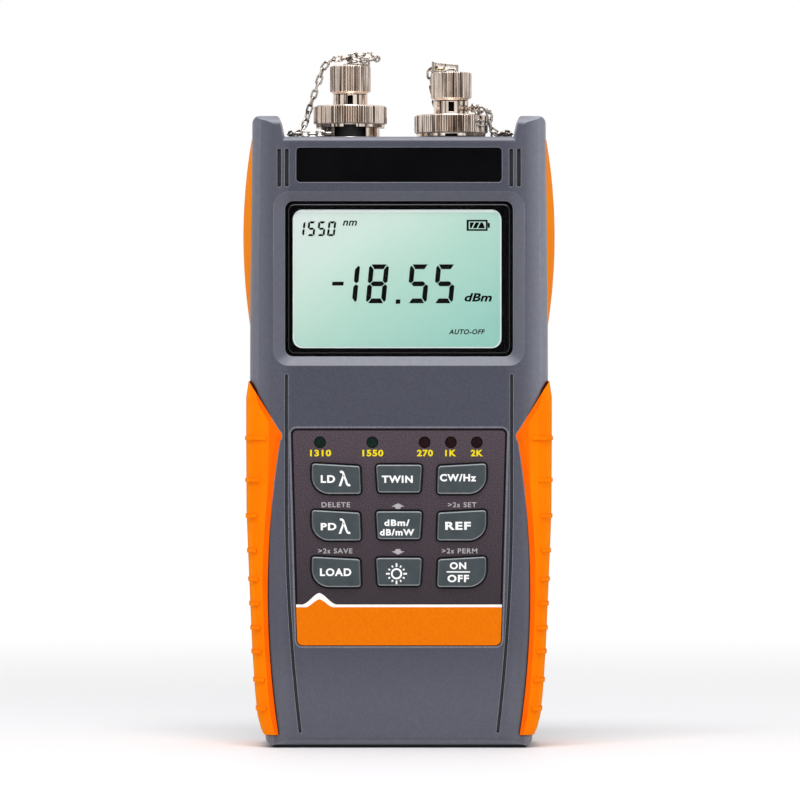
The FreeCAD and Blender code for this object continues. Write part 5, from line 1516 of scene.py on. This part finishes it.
# %% Battery sign
bm = bmesh.new()
case_line = [(17.75, 135.6), (23.25, 135.6), (23.25, 138.5), (17.75, 138.5)]
room_line = [(18.3, 136.05), (22.8, 136.05), (22.8, 138.05), (18.3, 138.05)]
nub = [(23.28, 136.35), (23.85, 136.5), (23.85, 137.6), (23.28, 137.75)]
add_band(bm, case_line, room_line, ON_GLASS, INK)
add_prism(bm, nub, ON_GLASS, INK)
for cell in (
    [(18.6, 136.3), (19.0, 136.3), (19.75, 137.8), (18.6, 137.8)],
    [(19.35, 136.3), (20.35, 136.3), (21.1, 137.8), (20.1, 137.8)],
    [(20.7, 136.3), (22.5, 136.3), (22.5, 136.6), (21.9, 137.8), (21.45, 137.8)],
):
    add_prism(bm, cell, ON_GLASS, INK)
coat_piece(piece_from(bm, "battery_sign", "case"), segment_ink)
print("bars in the battery sign:", 3)

# %% [markdown]
# ## Window bead
#
# A fine bead runs just inside the window's edge, where the clear plastic
# steps down to its black border. Its top run is painted pale, a painted
# highlight drawn as a thin line along the top of the display, a step in its
# own height.

# %% The bead
bead_finish, tree, shader = new_finish("window_bead", (38, 40, 46), 0.25)
low_bead = mottle(tree, 5.0, (24, 24, 29), (34, 34, 40))
# Painted highlight on the top run.
painted_highlight_bead_top = between(tree, split_place(tree)["Z"], 141.9, 142.3)
colour_from(tree, shader, mix_colour(tree, painted_highlight_bead_top, low_bead, paint(112, 112, 118)))
relief(tree, shader, grain(tree, 2.0), 0.002)
bm = bmesh.new()
outer = rounded_box(-29.0, 29.0, 103.5, 142.5, 1.6)
inner = rounded_box(-28.85, 28.85, 103.65, 142.35, 1.5)
add_band(bm, outer, inner, -14.34, 0.04)
coat_piece(piece_from(bm, "window_bead", "case"), bead_finish)
print("corners of the bead:", len(outer))

# %% [markdown]
# ## The right cap's strip
#
# The strip on the right cap is bent from thick sheet round the chain's first
# link, open at both sides. Seen from the side it is a band between two
# outlines, given depth to the width of the strip. It rides with the swivel,
# so it rises with the cap and doesn't turn.

# %% Thick bent strip
STRIP_WIDTH = 2.76
x, top = PORT_X["right"], CAP_TOP["right"]
strap = [
    (x - 5.08, top + 0.14), (x + 1.88, top + 0.14), (x + 1.88, top + 1.98),
    (x - 4.1, top + 2.58), (x - 5.08, top + 2.94),
]
opening = [
    (x - 4.45, top + 0.6), (x + 1.3, top + 0.6), (x + 1.3, top + 1.3),
    (x - 4.0, top + 1.85), (x - 4.45, top + 1.95),
]
bm = bmesh.new()
add_band(bm, strap, opening, -STRIP_WIDTH / 2, STRIP_WIDTH)
strap_finish = nickel("strap_nickel", ((255, 248, 240), (224, 212, 202), (20, 15, 13)), 0.3)
coat_piece(piece_from(bm, "right_strap", "right_cap_swivel"), strap_finish)
print("corners of the strip:", len(strap))

# %% [markdown]
# ## Edge of the display glass
#
# The display glass is cut from a sheet, and where its ground edge would catch
# the light a pale frame a third of a millimetre wide is a painted highlight.

# %% Ground edge
# Painted highlight: pale ink along the glass's edge.
pale_finish, tree, shader = new_finish("glass_edge_painted_highlight", (232, 242, 238), 0.4, specular=0.1)
colour_from(tree, shader, mottle(tree, 3.0, (226, 236, 232), (238, 246, 243)))
bm = bmesh.new()
outer = rounded_box(-27.9, 26.9, 104.8, 141.2, 2.6)
inner = rounded_box(-27.55, 26.55, 105.12, 140.85, 2.3)
add_band(bm, outer, inner, ON_GLASS, INK)
coat_piece(piece_from(bm, "display_glass_edge", "case"), pale_finish)
print("corners of the glass edge:", len(outer))

# %% [markdown]
# ## Painted shade in the two bores
#
# Through the key window of each port one looks into the adapter's bore,
# which is dark inside, in shade. Bright plate would mirror the sky there, so a
# short black matt sleeve is put in each bore as painted shade. Its section is a
# small rectangle turned round the port's axis.

# %% Dark sleeves
BORE_RADIUS, SLEEVE_INSIDE, SLEEVE_HEIGHT = 2.8, 2.1, 3.4
# Painted shade: a near-black sleeve in each bore.
bore_shade_finish, tree, shader = new_finish("bore_painted_shade", (9, 9, 11), 0.6, specular=0.1)
colour_from(tree, shader, mottle(tree, 0.6, (7, 7, 9), (13, 13, 15)))
SLEEVE_SIDES = 32
for side, low in (("left", 168.4), ("right", 166.7)):
    bm = bmesh.new()
    high = low + SLEEVE_HEIGHT
    section = ((BORE_RADIUS, low), (BORE_RADIUS, high), (SLEEVE_INSIDE, high), (SLEEVE_INSIDE, low))
    rings = [
        [bm.verts.new(place) for place in circle_path((PORT_X[side], 0, z), radius, SLEEVE_SIDES)]
        for radius, z in section
    ]
    for a, b in zip(rings, rings[1:] + rings[:1]):
        for k in range(SLEEVE_SIDES):
            after = (k + 1) % SLEEVE_SIDES
            bm.faces.new((a[k], a[after], b[after], b[k]))
    sleeve = piece_from(bm, side + "_bore_painted_shade", "case", smooth=True)
    coat_piece(sleeve, bore_shade_finish)
print("sleeves:", 2)

# %% [markdown]
# ## Measure and finish
#
# The dressed model's box is measured and printed in millimetres.

# %% Sizes
low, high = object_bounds()
print("dressed box in mm:", [round(1000 * v, 2) for v in (*low, *high)])
